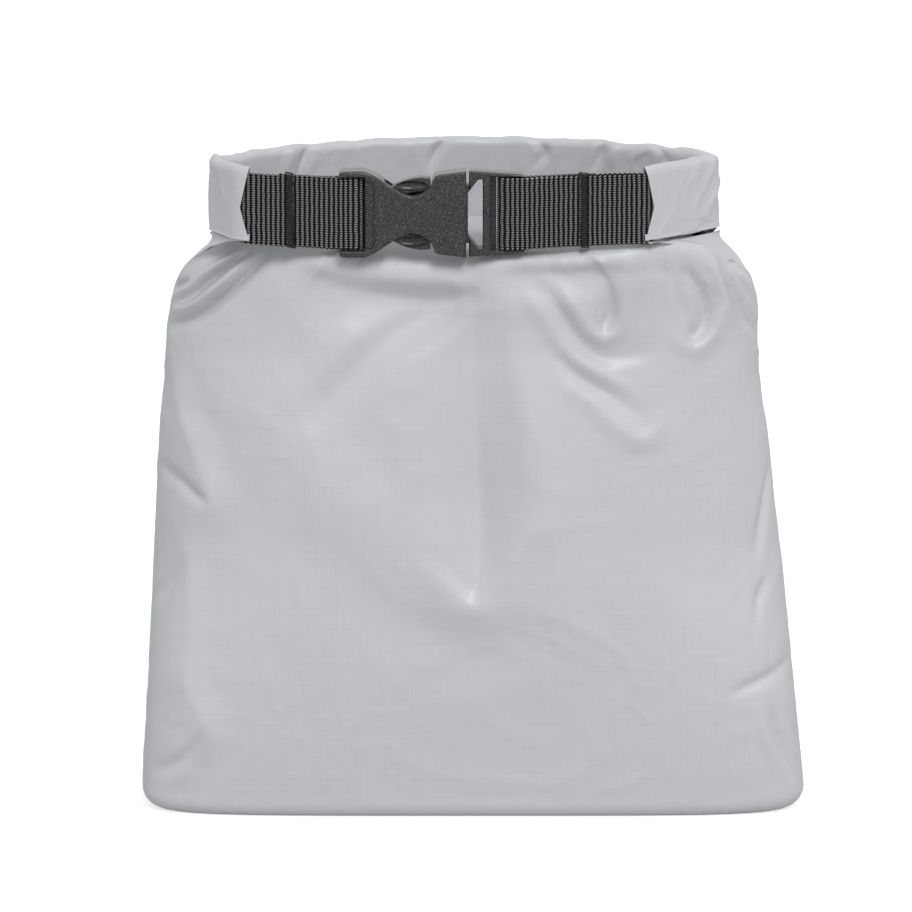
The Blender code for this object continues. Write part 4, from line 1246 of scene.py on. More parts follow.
BACK_FOLDS: tuple[Fold, ...] = (
    Fold(((-46, 206, 0.8, 4, 5), (-44, 190, 2.0, 5, 7), (-36, 168, 1.3, 6, 8), (-32, 150, 0, 6, 8)), 0.4),
    Fold(((-34, 206, 0, 5, 5), (-33, 188, -1.4, 6, 6), (-25, 165, -1.0, 7, 7), (-20, 148, 0, 6, 6)), 0.2),
    Fold(((-8, 206, 0.6, 5, 5), (-5, 192, 1.6, 6, 7), (2, 176, 1.2, 6, 8), (4, 158, 0, 6, 8)), 0.4),
    Fold(((24, 206, 0.8, 5, 4), (22, 190, 2.2, 7, 5), (12, 166, 1.6, 9, 7), (4, 140, 0, 9, 8)), 0.4),
    Fold(((38, 206, 0, 5, 5), (36, 186, -1.5, 6, 6), (28, 160, -1.1, 8, 7), (20, 136, 0, 8, 8)), 0.2),
    Fold(((58, 204, 0.8, 4, 4), (60, 188, 2.2, 5, 5), (52, 168, 1.8, 6, 6), (44, 152, 0, 6, 6)), 0.45),
    Fold(((76, 202, 0.6, 4, 4), (82, 186, 1.9, 5, 5), (90, 170, 1.2, 5, 5), (96, 156, 0, 5, 5)), 0.45),
    Fold(((-66, 204, 0.8, 4, 4), (-72, 186, 2.1, 5, 5), (-84, 170, 1.5, 6, 5), (-96, 158, 0, 5, 5)), 0.45),
    Fold(((-96, 120, 0, 12, 12), (-70, 100, 1.6, 14, 16), (-34, 84, 2.2, 14, 18), (6, 80, 1.2, 14, 18),
          (30, 88, 0, 12, 14)), 0.1),
    Fold(((88, 132, 0, 12, 12), (66, 104, 1.5, 14, 16), (48, 76, 2.0, 14, 16), (40, 48, 0, 12, 14)), 0.1),
    Fold(((-60, 140, 0, 16, 16), (-40, 116, -1.6, 20, 20), (0, 104, -1.8, 22, 22),
          (34, 112, 0, 16, 16)), 0.0),
    Fold(((-112, 60, 0, 6, 8), (-98, 46, 1.6, 7, 9), (-82, 40, 0, 6, 8)), 0.4),
    Fold(((112, 44, 0, 6, 8), (100, 34, 1.5, 7, 9), (86, 32, 0, 6, 8)), 0.4),
    Fold(((118, 96, 0, 5, 6), (104, 88, 1.4, 6, 8), (92, 90, 0, 5, 7)), 0.4),
)

RING_FOLDS: tuple[Fold, ...] = (
    # a sharp crease behind the left arm
    Fold(((65.7, 232, 0.8, 3, 2), (65.7, 229.5, 1.7, 5, 2), (64.1, 225.5, 1.5, 5, 2),
          (61.8, 220, 0.8, 5, 3)), 0.7),
    # the swelling left of that crease
    Fold(((62, 232, -0.6, 4, 4), (59.9, 227.5, -1, 4, 4), (56.6, 222, -0.4, 4, 4)), 0.2),
    # a pucker above the socket
    Fold(((118.6, 231, 0.8, 4, 3), (115.5, 227.5, 1.7, 4, 3), (113.4, 223.5, 1.1, 4, 3),
          (112.8, 219.5, 0, 3, 3)), 0.5),
    # a pucker above the plug
    Fold(((152, 230.5, 0.6, 3, 4), (154.5, 226.5, 1.5, 3, 4), (152, 223, 0.9, 3, 4),
          (148.2, 219.5, 0, 3, 3)), 0.5),
    # a pucker above the right strap
    Fold(((176.6, 231.5, 0.8, 4, 3), (175.6, 228, 1.7, 4, 3), (173.1, 223.5, 1, 4, 3),
          (169.8, 219.5, 0, 3, 3)), 0.5),
    # the swelling beside it
    Fold(((180.4, 231, -0.6, 4, 4), (179.5, 226.5, -1, 4, 4), (177.5, 222.5, -0.4, 4, 4)), 0.2),
    # a pucker by the right arm
    Fold(((196.5, 231.5, 0.5, 3, 4), (200.5, 228.5, 1, 3, 4), (198, 224.5, 0.6, 3, 4)), 0.6),
    # a fold line by the right arm
    Fold(((185.1, 225, 0, 3, 3), (190.7, 228.5, -0.8, 3, 3), (196.5, 232, -0.6, 3, 3)), 0.4),
)


# ---- cloth pieces

def arm_planes(side: int) -> tuple[Vector, Vector]:
    """Two points at an arm's corner, whose planes tell where the roll's piece for that arm is cut off.

    The way between the two leans towards the strap's far end.

    Args:
        side: -1 for the left arm, 1 for the right arm.
    """
    corner, reach = ((ROLL.left_corner, ROLL.left_blend) if side < 0
                     else (ROLL.right_corner, ROLL.right_blend))
    across, ahead = ROLL.blend_way
    start = Vector((*corner, ROLL.bottom))
    return start * MM, (start + Vector((-side * across, ahead, 0)) * reach) * MM


def share_along(points: Array, start: Vector, end: Vector) -> Array:
    """How far each point in millimetres lies between the planes through start and end."""
    origin, step = np.array(start) / MM, np.array(end - start) / MM
    return (points - origin) @ step / (step @ step)


@dataclass
class BagCloth(Assembly):
    """The body's cloth in its pieces, with its folds and the tapes inside its seams."""

    cloth: float = 0.35
    tape: float = 0.2
    tape_gap: float = 0.15
    tape_columns: int = 6
    base_tape_rows: tuple[int, int] = (5, 6)
    side_tape_start: int = 8
    crumple_depth: float = 0.45
    crumple_size: float = 55.0
    calm_foot: float = 12.0
    calm_rim: float = 9.0

    def build(self) -> None:
        """Builds and places the panels, the base and the tapes, which are strips just inside the cloth."""
        body = Body()
        smooth = body.surface()
        views = body.cloth_places(smooth)
        grid = self.folded(smooth, views)
        points, normals = grid.reshape(-1, 3), grid_normals(grid, closed=True).reshape(-1, 3)
        inside = points - normals * (self.cloth + self.tape_gap)
        front_places, back_places = (view.reshape(-1, 2) for view in views)
        faces = grid_faces(*grid.shape[:2], closed=True)
        row, column = np.indices(faces.shape[:2])
        up = row - body.seam_row
        upper, front = up >= 0, column < body.columns
        below, above = self.base_tape_rows
        sides = (up >= self.side_tape_start) & (up < body.wall_rows)
        at_left = np.minimum(column, faces.shape[1] - column - 1) < self.tape_columns
        at_right = np.abs(column - body.columns + 0.5) < self.tape_columns
        for name, node, mask, places in (
                ("front_cloth", "front_panel", upper & front, front_places),
                ("back_cloth", "back_panel", upper & ~front, back_places),
                ("base_cloth", "base_panel", ~upper, points[:, :2])):
            piece = make_shell(name, points, normals, faces[mask], self.cloth, places)
            self.wardrobe.place(piece, Slot.CLOTH, (node,), "bag")
        for node, mask in (("base_seam_tape", (up >= -below) & (up < above)),
                           ("left_side_seam_tape", sides & at_left),
                           ("right_side_seam_tape", sides & at_right)):
            piece = make_shell(f"{node}_strip", inside, normals, faces[mask], self.tape, front_places)
            self.wardrobe.place(piece, Slot.TAPE, (node,), "bag")

    def folded(self, grid: Array, views: tuple[Array, Array]) -> Array:
        """The surface pushed in along its normals by the folds and a light crumple.

        Args:
            grid: the smooth surface.
            views: each point's place on the cloth, from the front and from the back.

        Returns:
            The folded surface.
        """
        depth = np.zeros(grid.shape[0] * grid.shape[1])
        for folds, places in zip((FRONT_FOLDS, BACK_FOLDS), views):
            for fold in folds:
                depth += fold.depth_at(places.reshape(-1, 2))
        depth += self.crumple_depth * (crumple(grid.reshape(-1, 3), self.crumple_size, 5) - 0.45)
        up = views[0][..., 1]
        calm = window(up, (0, self.calm_foot), (up[-1] - self.calm_rim, up[-1]))
        return grid - grid_normals(grid, closed=True) * (depth.reshape(up.shape) * calm)[:, :, None]


@dataclass
class RollCloth(Assembly):
    """The rolled mouth: one flat tube of cloth round the ring, open below along both arms."""

    spacing: float = 0.9
    cloth: float = 0.4
    notch: float = 4.2
    notch_run: float = 16.0
    arm_bottom: float = -11.4
    section_points: int = 75
    tip_run: float = 15.0
    tip_share: float = 0.56
    corner: Span = (6.0, 2.0)
    rim_waves: tuple[float, float] = (0.2, 26.0)
    crumple_depth: float = 0.28
    corner_depth: float = 0.75
    crumple_size: float = 17.0
    split_run: float = 30.0
    split_share: float = -0.15
    tuck: float = 0.6
    wall: float = 0.55

    line: Array = field(init=False)
    left: float = field(init=False)
    right: float = field(init=False)
    places: Array = field(init=False)
    section: Array = field(init=False)

    def __post_init__(self) -> None:
        """Works out the ring in plan with its two corners, even places along it, and the roll's section.

        The section goes from its bottom's middle round the outside and back, in rows of (outwards, upwards)
        from the roll's middle.
        """
        self.line, self.left, self.right = ring_line(*self.corner)
        length = stations(self.line)[-1]
        self.places = np.linspace(0, length, int(length / self.spacing) + 1)
        deep, high = ROLL.half_thickness, ROLL.half_height
        box = [(0.0, -high), (deep, -high), (deep, high), (-deep, high), (-deep, -high), (0.0, -high)]
        self.section = evenly(round_corners(np.array(box), [1.6, 2.5, 2.5, 1.6], 6), self.section_points)

    def build(self) -> None:
        """Builds and places the roll's back and its two arms."""
        walked = self.notched()
        grid = self.puckered(self.tube(walked), walked)
        points, normals = grid.reshape(-1, 3), -grid_normals(grid).reshape(-1, 3)
        faces = grid_faces(*grid.shape[:2])
        cloth = np.dstack(np.broadcast_arrays(walked, stations(self.section)[:, None])).reshape(-1, 2)
        middle, centres = (self.places[:-1] + self.places[1:]) / 2, points[faces].mean(axis=(0, 2))
        left_share, right_share = (share_along(centres, *arm_planes(side)) for side in (-1, 1))
        in_left = (middle < self.left + self.split_run) & (left_share > self.split_share)
        in_right = (middle > self.right - self.split_run) & (right_share > self.split_share)
        for name, nodes, mask, body, side in (
                ("rolled_back_cloth", ("rolled_mouth_back", "rim_webbing"), ~in_left & ~in_right, "bag", 0),
                ("left_arm_cloth", ("rolled_mouth_left",), in_left, "left_arm", -1),
                ("right_arm_cloth", ("rolled_mouth_right",), in_right, "right_arm", 1)):
            chosen = faces[:, mask].reshape(-1, 4)[:, ::-1]
            piece = make_shell(name, points, normals, chosen, self.cloth, cloth)
            self.wardrobe.place(piece, Slot.CLOTH, nodes, body, arm_planes(side) if side else None)

    def notched(self) -> Array:
        """Each point's distance along the ring: even, but for a pointed notch in both arms' tips.

        Returns:
            Distances as section points by places.
        """
        upwards, places = self.section[:, 1:], self.places
        share = np.clip(1 - np.abs(upwards) / np.where(upwards > 0, ROLL.half_height, -self.arm_bottom), 0, 1)
        from_tips = [np.clip(1 - away / self.notch_run, 0, 1) for away in (places, places[-1] - places)]
        return places + self.notch * share * (from_tips[0] - from_tips[1])

    def tube(self, walked: Array) -> Array:
        """The section carried round the ring, thinner at the tips, with a gently waving top edge.

        Along the arms the bottom is open: what lies below the arms' edge is tucked up along the walls.

        Args:
            walked: each point's distance along the ring.

        Returns:
            Points as section points by places by 3.
        """
        flat, shape, places = walked.reshape(-1), (*walked.shape, 2), self.places
        plan = along_line(self.line, flat).reshape(shape)
        way = unit(along_line(self.line, flat, left_normals(self.line)).reshape(shape))
        outwards, upwards = self.section[:, :1], self.section[:, 1:]
        ring_back = window(places, (self.left - 3, self.left + 5), (self.right - 5, self.right + 3))
        below, is_open = upwards < self.arm_bottom, 1 - ring_back
        tucked = self.arm_bottom + np.maximum(self.arm_bottom - upwards, 0) * self.tuck
        wall = np.sign(outwards) * (ROLL.half_thickness - self.wall)
        high = np.where(below, mix(upwards, tucked, is_open), upwards)
        deep = np.where(below, mix(outwards, wall, is_open * smooth_step(-upwards, 11.4, 13)), outwards)
        tip = 1 - smooth_step(np.minimum(places, places[-1] - places), 0, self.tip_run)
        deep = deep * mix(1.0, self.tip_share, tip)
        height, size = self.rim_waves
        high = high + smooth_step(upwards, 4.0, 14.0) * height * waves(places[:, None], size, 8, 33)
        return np.dstack([plan + way * (deep - ROLL.half_thickness)[:, :, None], ROLL.centre_height + high])

    def puckered(self, grid: Array, walked: Array) -> Array:
        """The tube with its folds on the inner side, and a crumple that grows at both corners.

        Args:
            grid: the tube's points.
            walked: each point's distance along the ring.

        Returns:
            The moved points.
        """
        near = 0.5 * np.exp(-((walked - self.left) / 14) ** 2) + np.exp(-((walked - self.right) / 16) ** 2)
        amount = (self.crumple_depth + self.corner_depth * near).reshape(-1)
        height = amount * (crumple(grid.reshape(-1, 3) * [1, 1, 0.55], self.crumple_size, 21) - 0.5)
        spots = np.dstack([walked, grid[..., 2]]).reshape(-1, 2)
        facing = np.repeat(smooth_step(-self.section[:, 0], 0.5, 2.4), grid.shape[1])
        for fold in RING_FOLDS:
            height += fold.depth_at(spots) * facing
        calm = 1 - smooth_step(-self.section[:, 1:], 11.0, 12.5)
        return grid + grid_normals(grid) * height.reshape(walked.shape)[:, :, None] * calm[:, :, None]


# ---- straps

@dataclass(frozen=True)
class StrapForm:
    """One strap's sizes in millimetres: where it bends, its tack and the bar it passes round."""

    side: int
    arm: str
    webbing_node: str
    tack_node: str
    corner: Span
    bend_x: float
    bar_x: float
    tack_x: float
    level_reach: float = 6.7
    plane_y: float = -31.0
    layer: float = 0.9
    loop_radius: float = 2.65
    tail: float = 4.0
    tack_width: float = 4.5
    buckle_height: float = 215.0

    @property
    def level_x(self) -> float:
        """Where the strap has come down to the buckle's height, just before its bar."""
        return self.bar_x + self.side * self.level_reach

    def centre_height(self, x: Array) -> Array:
        """The height of the strap's middle, falling from the roll to the buckle."""
        share = np.clip((x - self.bend_x) / (self.level_x - self.bend_x), 0, 1)
        return mix(ROLL.centre_height, self.buckle_height, share)

    def plan(self) -> Array:
        """The webbing's middle in plan: along the arm, the front layer, round the bar and back.

        Returns:
            Points from inside the arm to the free end behind the tack.
        """
        side, level = self.side, self.level_x
        near, far = self.plane_y - self.layer, self.plane_y + self.layer
        face = np.array([self.corner, (self.bend_x, ROLL.face_y), (self.bend_x - side * 30, ROLL.face_y)])
        face = round_corners(face, [ROLL.bend_radius], 16)
        inward = left_normals(face) * -side * ROLL.half_thickness
        start = mix(face[0], face[1], 0.10) + inward[0]
        parting = self.tack_x - side * (self.tack_width / 2 + 0.3)
        spread = mix(self.layer, self.loop_radius, (parting - level) / (parting - self.bar_x))
        turn = np.linspace(-math.pi / 2, math.pi / 2, 25)
        loop = np.stack([self.bar_x - side * self.loop_radius * np.cos(turn),
                         self.plane_y + self.loop_radius * np.sin(turn)], axis=1)
        return np.vstack([start, (face + inward)[1:-1], (parting, near), (level, self.plane_y - spread), loop,
                          (level, self.plane_y + spread), (parting, far),
                          (self.tack_x + side * self.tail, far)])


@dataclass
class Strap(Assembly):
    """One strap: ribbed webbing doubled round the buckle's bar, and the tack that holds it."""

    form: StrapForm
    rib: float = 1.66
    steps: int = 6
    half_thickness: float = 0.72
    half_width: float = 12.4
    edge_radius: float = 0.62
    edge_width: float = 1.2
    tack_passes: int = 62
    tack_over: float = 0.25
    tack_proud: float = 0.30
    thread: float = 0.27

    def build(self) -> None:
        """Builds and places the webbing and its tack."""
        form, place = self.form, self.wardrobe.place
        place(self.webbing(), Slot.WEBBING, (form.webbing_node,), form.arm, arm_planes(form.side))
        place(self.tack(), Slot.THREAD, (form.tack_node,), form.arm)

    def section(self) -> Array:
        """The webbing's section: a flat box with rounded edges, whose points go round by their angle.

        Returns:
            Rows of (through the webbing, across it) in millimetres.
        """
        deep, high = self.half_thickness, self.half_width
        box = np.array([(deep, 0), (deep, high), (-deep, high), (-deep, -high), (deep, -high), (deep, 0)])
        loop = round_corners(box, [self.edge_radius] * 4, 5)
        section = np.unique(np.round(np.vstack([loop, evenly(loop, 97)]), 4), axis=0)
        return section[np.argsort(np.arctan2(section[:, 1] / high, section[:, 0] / deep))]

    def webbing(self) -> Piece:
        """The webbing: its section carried along the plan line.

        Each rib swells the section by |sin(pi s / rib)| of a fifth of a millimetre, and more at both
        edges, which gives them their scallops.

        Returns:
            The piece.
        """
        plan, (through, across) = self.form.plan(), self.section().T[:, None, :]
        places = np.arange(0, stations(plan)[-1], self.rib / self.steps)
        line = along_line(plan, places)
        swell = np.abs(np.sin(math.pi * places / self.rib))[:, None]
        edge = smooth_step(np.abs(across), self.half_width - self.edge_width, self.half_width)
        grow = (swell - 0.6) * mix(0.20, 0.34, edge)
        wander = (0.12 * np.cos(places / 9.0) + 0.08 * np.cos(places / 3.7 + 1.0))[:, None]
        deep = through + np.sign(through) * grow * (1 - 0.6 * edge)
        high = across * (1 + edge * grow / self.half_width) + wander * edge
        flat = line[:, None, :] + left_normals(line)[:, None, :] * deep[:, :, None]
        grid = np.dstack([flat, self.form.centre_height(line[:, 0])[:, None] + high])
        cloth = np.dstack(np.broadcast_arrays(places[:, None], across + through * 0.5))
        return make_tube(f"{self.form.webbing_node}_woven", grid, cloth)

    def tack(self) -> Piece:
        """The tack: one thread that zigzags down the front, passes under and zigzags up the back.

        Returns:
            The piece.
        """
        form, passes = self.form, self.tack_passes
        half, high = form.tack_width / 2 - 0.75, self.half_width + self.tack_over
        rng = np.random.default_rng(11 + form.side)
        swing = np.where(np.arange(passes) % 2 == 0, -half, half) + rng.uniform(-0.14, 0.14, passes)
        falling = np.linspace(high, -high, passes)
        bulge = form.layer + self.half_thickness + self.tack_proud + 0.12 * (1 - (falling / high) ** 8)
        path = np.vstack([np.column_stack([swing, -bulge, falling]), (swing[-1], 0.0, -high - 0.5),
                          np.column_stack([swing[::-1], bulge, -falling]), (swing[0], 0.0, high + 0.5)])
        path[:, 2] += form.centre_height(form.tack_x + path[:, 0])
        path += [form.tack_x, form.plane_y, 0.0]
        return make_cord(f"{form.tack_node}_thread", evenly(path, len(path) * 3), self.thread, 7)


STRAPS = (
    StrapForm(-1, "left_arm", "left_webbing", "left_bartack", ROLL.left_corner, ROLL.left_bend,
              bar_x=-40.6, tack_x=-62.5),
    StrapForm(1, "right_arm", "right_webbing", "right_bartack", ROLL.right_corner, ROLL.right_bend,
              bar_x=11.5, tack_x=37.8),
)


# ---- buckle

@dataclass(frozen=True)
class BuckleForm:
    """The buckle's sizes in millimetres."""

    height: float = 215.0
    plane_y: float = -31.0
    rail_inner: float = 12.8
    rail_outer: float = 15.0
    bar_radius: float = 1.6
    socket_left: float = -45.7
    socket_bar: float = -40.6
    socket_body: float = -34.7
    slot_wall: float = -36.7
    waist: float = -20.4
    waist_half: float = 6.5
    latch: float = -14.2
    socket_mouth: float = -2.4
    socket_half: float = 4.5
    cavity_left: float = -32.5
    cavity_half: float = 2.7
    mouth_half: float = 10.6
    plug_left: float = -1.5
    plug_right: float = 17.6
    plug_half: float = 3.0
    plug_taper: float = 1.2
    plug_bar: float = 11.5
    window_left: float = -1.8
    window_right: float = 3.2
    crossbar: float = 2.8
    neck_left: float = -5.0
    guide: float = 19.0
    prong_half: float = 2.3
    prong_reach: float = 23.6
    catch: float = 12.4
    play: float = 0.4
    past: float = 30.0
    flare: float = 1.0
    dish: tuple[float, float, float] = (5.6, 1.5, 1.8)


class Change(Enum):
    """What a tool does to a solid."""

    JOIN = "UNION"
    CUT = "DIFFERENCE"


def apply(piece: Piece, modifier: bpy.types.Modifier) -> None:
    """Puts a modifier's result into the piece's mesh and removes the modifier.

    Args:
        piece: the piece.
        modifier: its modifier.
    """
    bpy.context.view_layer.update()
    solid = piece.evaluated_get(bpy.context.evaluated_depsgraph_get())
    piece.data = bpy.data.meshes.new_from_object(solid)
    piece.modifiers.remove(modifier)


def combine(body: Piece, change: Change, *tools: Piece) -> None:
    """Joins tools to a body, or cuts them from it, and removes them.

    Args:
        body: the solid that is changed.
        change: what the tools do to it.
        tools: other solids.
    """
    for tool in tools:
        boolean = body.modifiers.new(tool.name, "BOOLEAN")
        boolean.operation, boolean.object, boolean.solver = change.value, tool, "EXACT"
        apply(body, boolean)
        bpy.data.objects.remove(tool)


def mirrored(*half: Span) -> Array:
    """A closed clockwise outline of (x, height), from its upper half, left to right."""
    return np.vstack([half, np.array(half)[::-1] * [1, -1]])


def inset(outline: Array, distance: float) -> Array:
    """The parallel of a closed clockwise outline: each corner moves in along both its sides' normals.

    Args:
        outline: the corners, one row each.
        distance: how far in each side moves.

    Returns:
        The new corners.
    """
    ahead = unit(np.roll(outline, -1, axis=0) - outline)
    normal = np.stack([ahead[:, 1], -ahead[:, 0]], axis=1)
    earlier = np.roll(normal, 1, axis=0)
    offset = (normal + earlier) / np.maximum(1 + np.sum(normal * earlier, axis=1), 0.35)[:, None]
    return outline + offset * distance


@dataclass
class Buckle(Assembly):
    """The side-release buckle: a socket, a plug and two sprung prongs."""

    form: BuckleForm = BuckleForm()
    rounding_steps: int = 4
    sharp_angle: float = 38.0

    def upright(self, flat: Array, y: float) -> Array:
        """Points of (x, height above the buckle's middle) at a depth y."""
        return np.column_stack([flat[:, 0], np.full(len(flat), y), self.form.height + flat[:, 1]])

    def plate(self, name: str, outline: Array, half: float, edge: float = 0.0, shift: float = 0.0) -> Piece:
        """A plate from an outline, whose edges are rounded, or flared where the edge is negative.

        Args:
            name: its name.
            outline: its outline of (x, height).
            half: half its thickness.
            edge: the radius of its edges, or how far they flare.
            shift: how far its middle lies behind the buckle's.

        Returns:
            The plate.
        """
        if edge > 0:
            turn = np.linspace(0, math.pi / 2, self.rounding_steps + 1)
            profile = np.column_stack([edge * (1 - np.cos(turn)) - half, edge * (1 - np.sin(turn))])
        elif edge < 0:
            flare = self.form.flare - half
            profile = np.array([(-half, edge), (flare, edge), (flare - edge, 0.0)])
        else:
            profile = np.array([(-half, 0.0)])
        middle, levels = self.form.plane_y + shift, np.vstack([profile, profile[::-1] * [-1, 1]])
        loops = [self.upright(inset(outline, deep), middle + y) for y, deep in levels]
        return make_tube(name, np.array(loops))

    def bar(self, x: float, half_height: float) -> Piece:
        """A round upright bar.

        Args:
            x: where it stands.
            half_height: half its height.

        Returns:
            The bar.
        """
        ring = circle(32) * self.form.bar_radius + (x, self.form.plane_y)
        ends = self.form.height + np.array([-half_height, half_height])
        return make_tube("bar", np.array([np.column_stack([ring, np.full(32, end)]) for end in ends]))

    def hollow(self, x: float, height: float) -> Piece:
        """An ellipsoid whose middle lies on the prongs' front, to hollow a pad.

        Args:
            x: its middle.
            height: its middle's height above the buckle's middle.

        Returns:
            The ellipsoid.
        """
        wide, deep, high = self.form.dish
        front = self.form.plane_y - self.form.prong_half
        ring = circle(40) * (wide, high)
        loops = [self.upright(ring * math.cos(turn) + (x, height), front + deep * math.sin(turn))
                 for turn in np.linspace(math.pi / 2, -math.pi / 2, 17)[1:-1]]
        return make_tube("hollow", np.array(loops))

    def place(self, piece: Piece, node: str, body: str) -> None:
        """Evens out a piece's shading between its sharp edges, then dresses and places it.

        Args:
            piece: the piece.
            node: the node it replaces.
            body: the body it rides on.
        """
        piece.data.shade_smooth()
        piece.data.set_sharp_from_angle(angle=math.radians(self.sharp_angle))
        weighted = piece.modifiers.new("even_faces", "WEIGHTED_NORMAL")
        weighted.keep_sharp, weighted.weight = True, 100
        apply(piece, weighted)
        self.wardrobe.place(piece, Slot.PLASTIC, (node,), body)

    def build(self) -> None:
        """Builds and places the buckle's four pieces."""
        self.place(self.socket(), "buckle_socket", "socket")
        self.place(self.plug(), "buckle_plug", "plug")
        for word in ("upper", "lower"):
            self.place(self.prong(word), f"{word}_prong", f"{word}_prong")

    def socket(self) -> Piece:
        """The socket: rails and a hump at the left, a narrow waist, and a wide mouth.

        Returns:
            The piece.
        """
        form = self.form
        outer, inner, past, half = form.rail_outer, form.rail_inner, form.past, form.socket_half
        shoulder = [(form.waist - reach, height)
                    for reach, height in ((11.8, 12.6), (8.8, 10.5), (5.8, 8.6), (3.0, 7.2))]
        side = [(form.socket_left, outer - 0.6), (form.socket_left + 1.4, outer - 0.1),
                (form.socket_bar, outer), (form.socket_body - 2.4, outer - 0.1),
                (form.socket_body, outer - 1.0), *shoulder, (form.waist, form.waist_half),
                (mix(form.waist, form.latch, 0.6), form.waist_half + 1.4),
                (form.latch, form.waist_half + 3.6)]
        mouth = [(form.latch + 1.2, outer - 1.6), (form.latch + 2.6, outer - 1.1), (form.socket_mouth, outer)]
        slot = mirrored((form.socket_left - past, inner), (form.slot_wall - 0.5, inner),
                        (form.slot_wall, inner - 1.0))
        recess = mirrored((form.slot_wall - 2.0, inner - 0.8), (form.socket_body + 0.2, inner - 0.8),
                          (form.socket_body + 1.2, inner - 2.4))
        neck, end = form.mouth_half - form.play, form.cavity_left
        cavity = mirrored((end, neck * 0.5), (end + 2.0, neck * 0.6), (end + 3.5, past), (form.latch, past),
                          (form.latch, form.mouth_half), (form.socket_mouth + past, form.mouth_half))
        # a black strip behind the gap at the slot wall, a dark stand-in for the shade seen through that gap
        gap_shade_fill = mirrored((form.slot_wall - 1.3, inner + 0.5), (form.slot_wall + 1.0, inner + 0.5))
        body = self.plate("socket_moulding", mirrored(*smooth_line(np.array(side), 6), *mouth), half, 0.9)
        combine(body, Change.CUT, self.plate("slot", slot, half + 1.0, -0.5),
                self.plate("recess", recess, 1.6, shift=-half),
                self.plate("cavity", cavity, form.cavity_half))
        combine(body, Change.JOIN, self.bar(form.socket_bar, (inner + outer) / 2),
                self.plate("gap_shade_fill", gap_shade_fill, 0.4, shift=half - 0.45))
        return body

    def plug(self) -> Piece:
        """The plug: a frame with a bar, and the neck and guide that enter the socket.

        Returns:
            The piece.
        """
        form = self.form
        outer, inner, right = form.rail_outer, form.rail_inner, form.plug_right
        neck_half, window_top, through = form.mouth_half - form.play, inner - 0.8, form.plug_half + 1.0
        start = form.window_right + form.crossbar
        frame_side = mirrored((form.plug_left, outer), (right - 1.4, outer - form.plug_taper),
                              (right, outer - form.plug_taper - 0.8))
        neck = mirrored((form.neck_left, neck_half), (form.window_right, neck_half))
        guide = mirrored((form.neck_left - form.guide, 1.6), (form.neck_left + 1.0, 1.6))
        opening = mirrored((form.window_left, window_top - 4.6), (form.window_left + 3.5, window_top),
                           (form.window_right, window_top))
        slot = mirrored((start, inner), (right + form.past, inner))
        # a black plate in the back of the slot beside the crossbar, a dark stand-in for the shade seen
        # through the open slot
        slot_shade_fill = mirrored((start - 1.0, inner + 0.5), (start + 1.9, inner + 0.5))
        nib = mirrored((start - 1.6, 1.7), (start - 0.4, 1.4))
        body = self.plate("plug_moulding", frame_side, form.plug_half, 0.7)
        combine(body, Change.JOIN, self.plate("neck", neck, form.prong_half, 0.4),
                self.plate("guide", guide, form.prong_half - 0.3, 0.4))
        combine(body, Change.CUT, self.plate("opening", opening, through, -0.4),
                self.plate("slot", slot, through, -0.4))
        combine(body, Change.JOIN, self.bar(form.plug_bar, inner + 0.5),
                self.plate("slot_shade_fill", slot_shade_fill, 1.0, shift=1.6), self.plate("nib", nib, form.plug_half + 0.3, 0.3))
        return body

    def prong(self, word: str) -> Piece:
        """A sprung prong: a slim arm whose wide pad catches behind the latch wall.

        The upper prong is the lower one mirrored, with its faces turned to point out again.

        Args:
            word: "upper" or "lower".

        Returns:
            The piece.
        """
        form = self.form
        root, shoulder = form.neck_left - 0.15, form.latch - 0.4
        tip, high, catch = root - form.prong_reach, form.mouth_half - form.play, form.catch
        pad = [(shoulder, catch), (mix(shoulder, tip, 0.25), catch + 0.2),
               (mix(shoulder, tip, 0.6), catch - 0.8), (tip + 0.8, catch - 3.2), (tip, catch - 4.2),
               (tip + 1.2, catch - 5.2), (mix(shoulder, tip, 0.7), catch - 5.8),
               (mix(shoulder, tip, 0.3), high - 2.6)]
        outline = np.vstack([(root, high), (shoulder, high), smooth_line(np.array(pad), 5),
                             (root, high - 2.6)])
        piece = self.plate(f"{word}_prong_moulding", outline * [1, -1], form.prong_half, 0.5)
        combine(piece, Change.CUT, self.hollow(mix(shoulder, tip, 0.46), 2.7 - catch))
        if word == "upper":
            mirror = Matrix.Translation((0, 0, 2 * form.height * MM)) @ Matrix.Diagonal((1, 1, -1, 1))
            piece.data.transform(mirror)
            piece.data.flip_normals()
        return piece


# ---- studio

WHITE = (1.0, 1.0, 1.0, 1.0)


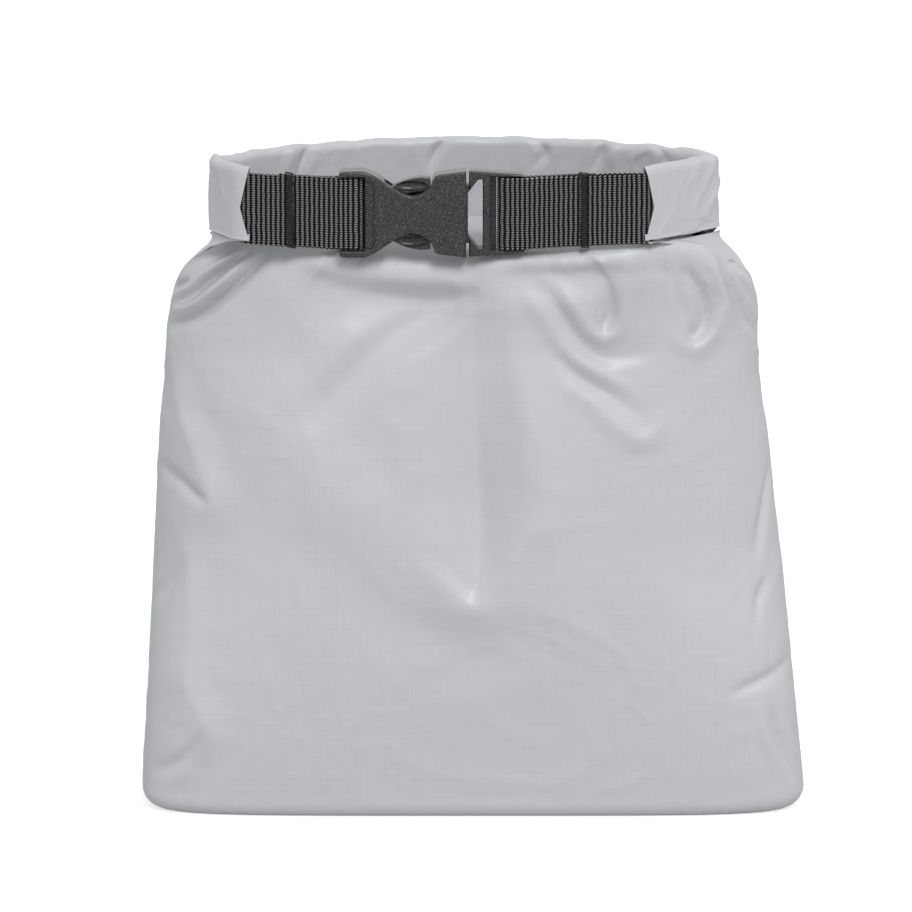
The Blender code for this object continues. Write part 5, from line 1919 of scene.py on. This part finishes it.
@dataclass
class Studio:
    """A white room: a pale floor, two soft lights overhead and a camera a little above level."""

    aim: tuple[float, float, float] = (-5.9, 0.0, 122.6)
    distance: float = 3000.0
    elevation: float = 13.0
    lens: float = 341.2
    floor_half: float = 3000.0
    floor_glow: float = 0.65
    room_light: float = 0.46

    def build(self) -> None:
        """Builds the floor, the world, the lights and the camera."""
        self.build_floor()
        self.build_world()
        self.add_sun("key", (0.24, -0.88, 0.96), 24.0, 1.44)
        self.add_sun("sky", (0.15, -0.60, 1.0), 130.0, 0.45)
        self.build_camera()

    def build_floor(self) -> None:
        """A wide pale floor just under the bag, which looks white to the camera."""
        corners = np.array([(-1, -1, 0), (1, -1, 0), (1, 1, 0), (-1, 1, 0)]) * self.floor_half
        floor = make_mesh("floor", corners, [[0, 1, 2, 3]])
        material, graph = new_material("pale_floor")
        tone = graph.scaled(graph.noise(graph.own_place(), (3, 3, 3), 2.0), 0.02, 0.98)
        seen = graph.add("LightPath").outputs["Is Camera Ray"]
        graph.feed(graph.tree.nodes["Principled BSDF"], {
            "Base Color": graph.shade((0.70, 0.70, 0.70), tone), "Roughness": 0.9, "Emission Color": WHITE,
            "Emission Strength": graph.times(seen, self.floor_glow)})
        floor.data.materials.append(material)

    def build_world(self) -> None:
        """White to the camera and to mirror rays, and a soft grey light for everything else."""
        world = bpy.data.worlds.new("room")
        bpy.context.scene.world = world
        world.use_nodes = True
        graph = Graph(world.node_tree)
        path = graph.add("LightPath").outputs
        seen = graph.maths("MAXIMUM", path["Is Camera Ray"], path["Is Glossy Ray"])
        strength = graph.scaled(seen, 1.0 - self.room_light, self.room_light)
        graph.feed(graph.tree.nodes["Background"], {"Color": WHITE, "Strength": strength})

    def add_sun(self, name: str, source: tuple[float, float, float], spread: float, strength: float) -> None:
        """A soft light from far away.

        Args:
            name: its name.
            source: the way towards it.
            spread: how wide it looks, in degrees.
            strength: its strength in watts per square metre.
        """
        data = bpy.data.lights.new(name, "SUN")
        data.angle = math.radians(spread)
        data.energy = strength
        light = add_object(name, data)
        light.rotation_euler = (-Vector(source)).to_track_quat("-Z", "Y").to_euler()

    def build_camera(self) -> None:
        """A long lens aimed at the bag from the front."""
        data = bpy.data.cameras.new("camera")
        data.sensor_width, data.lens, data.clip_end = 36.0, self.lens, 20.0
        camera = add_object("camera", data)
        rise = math.radians(self.elevation)
        away = Vector((0.0, -math.cos(rise), math.sin(rise))) * self.distance * MM
        camera.location = Vector(self.aim) * MM + away
        camera.rotation_euler = (-away).to_track_quat("-Z", "Y").to_euler()
        bpy.context.scene.camera = camera
        bpy.context.scene.view_settings.view_transform = "Standard"


def main() -> None:
    """Builds every piece, the room and the camera."""
    logging.basicConfig(level=logging.INFO, format="%(name)s %(message)s")
    wardrobe = Wardrobe()
    for assembly in (BagCloth(wardrobe), RollCloth(wardrobe), *(Strap(wardrobe, form) for form in STRAPS),
                     Buckle(wardrobe)):
        assembly.build()
    Studio().build()


if __name__ == "__main__":
    main()
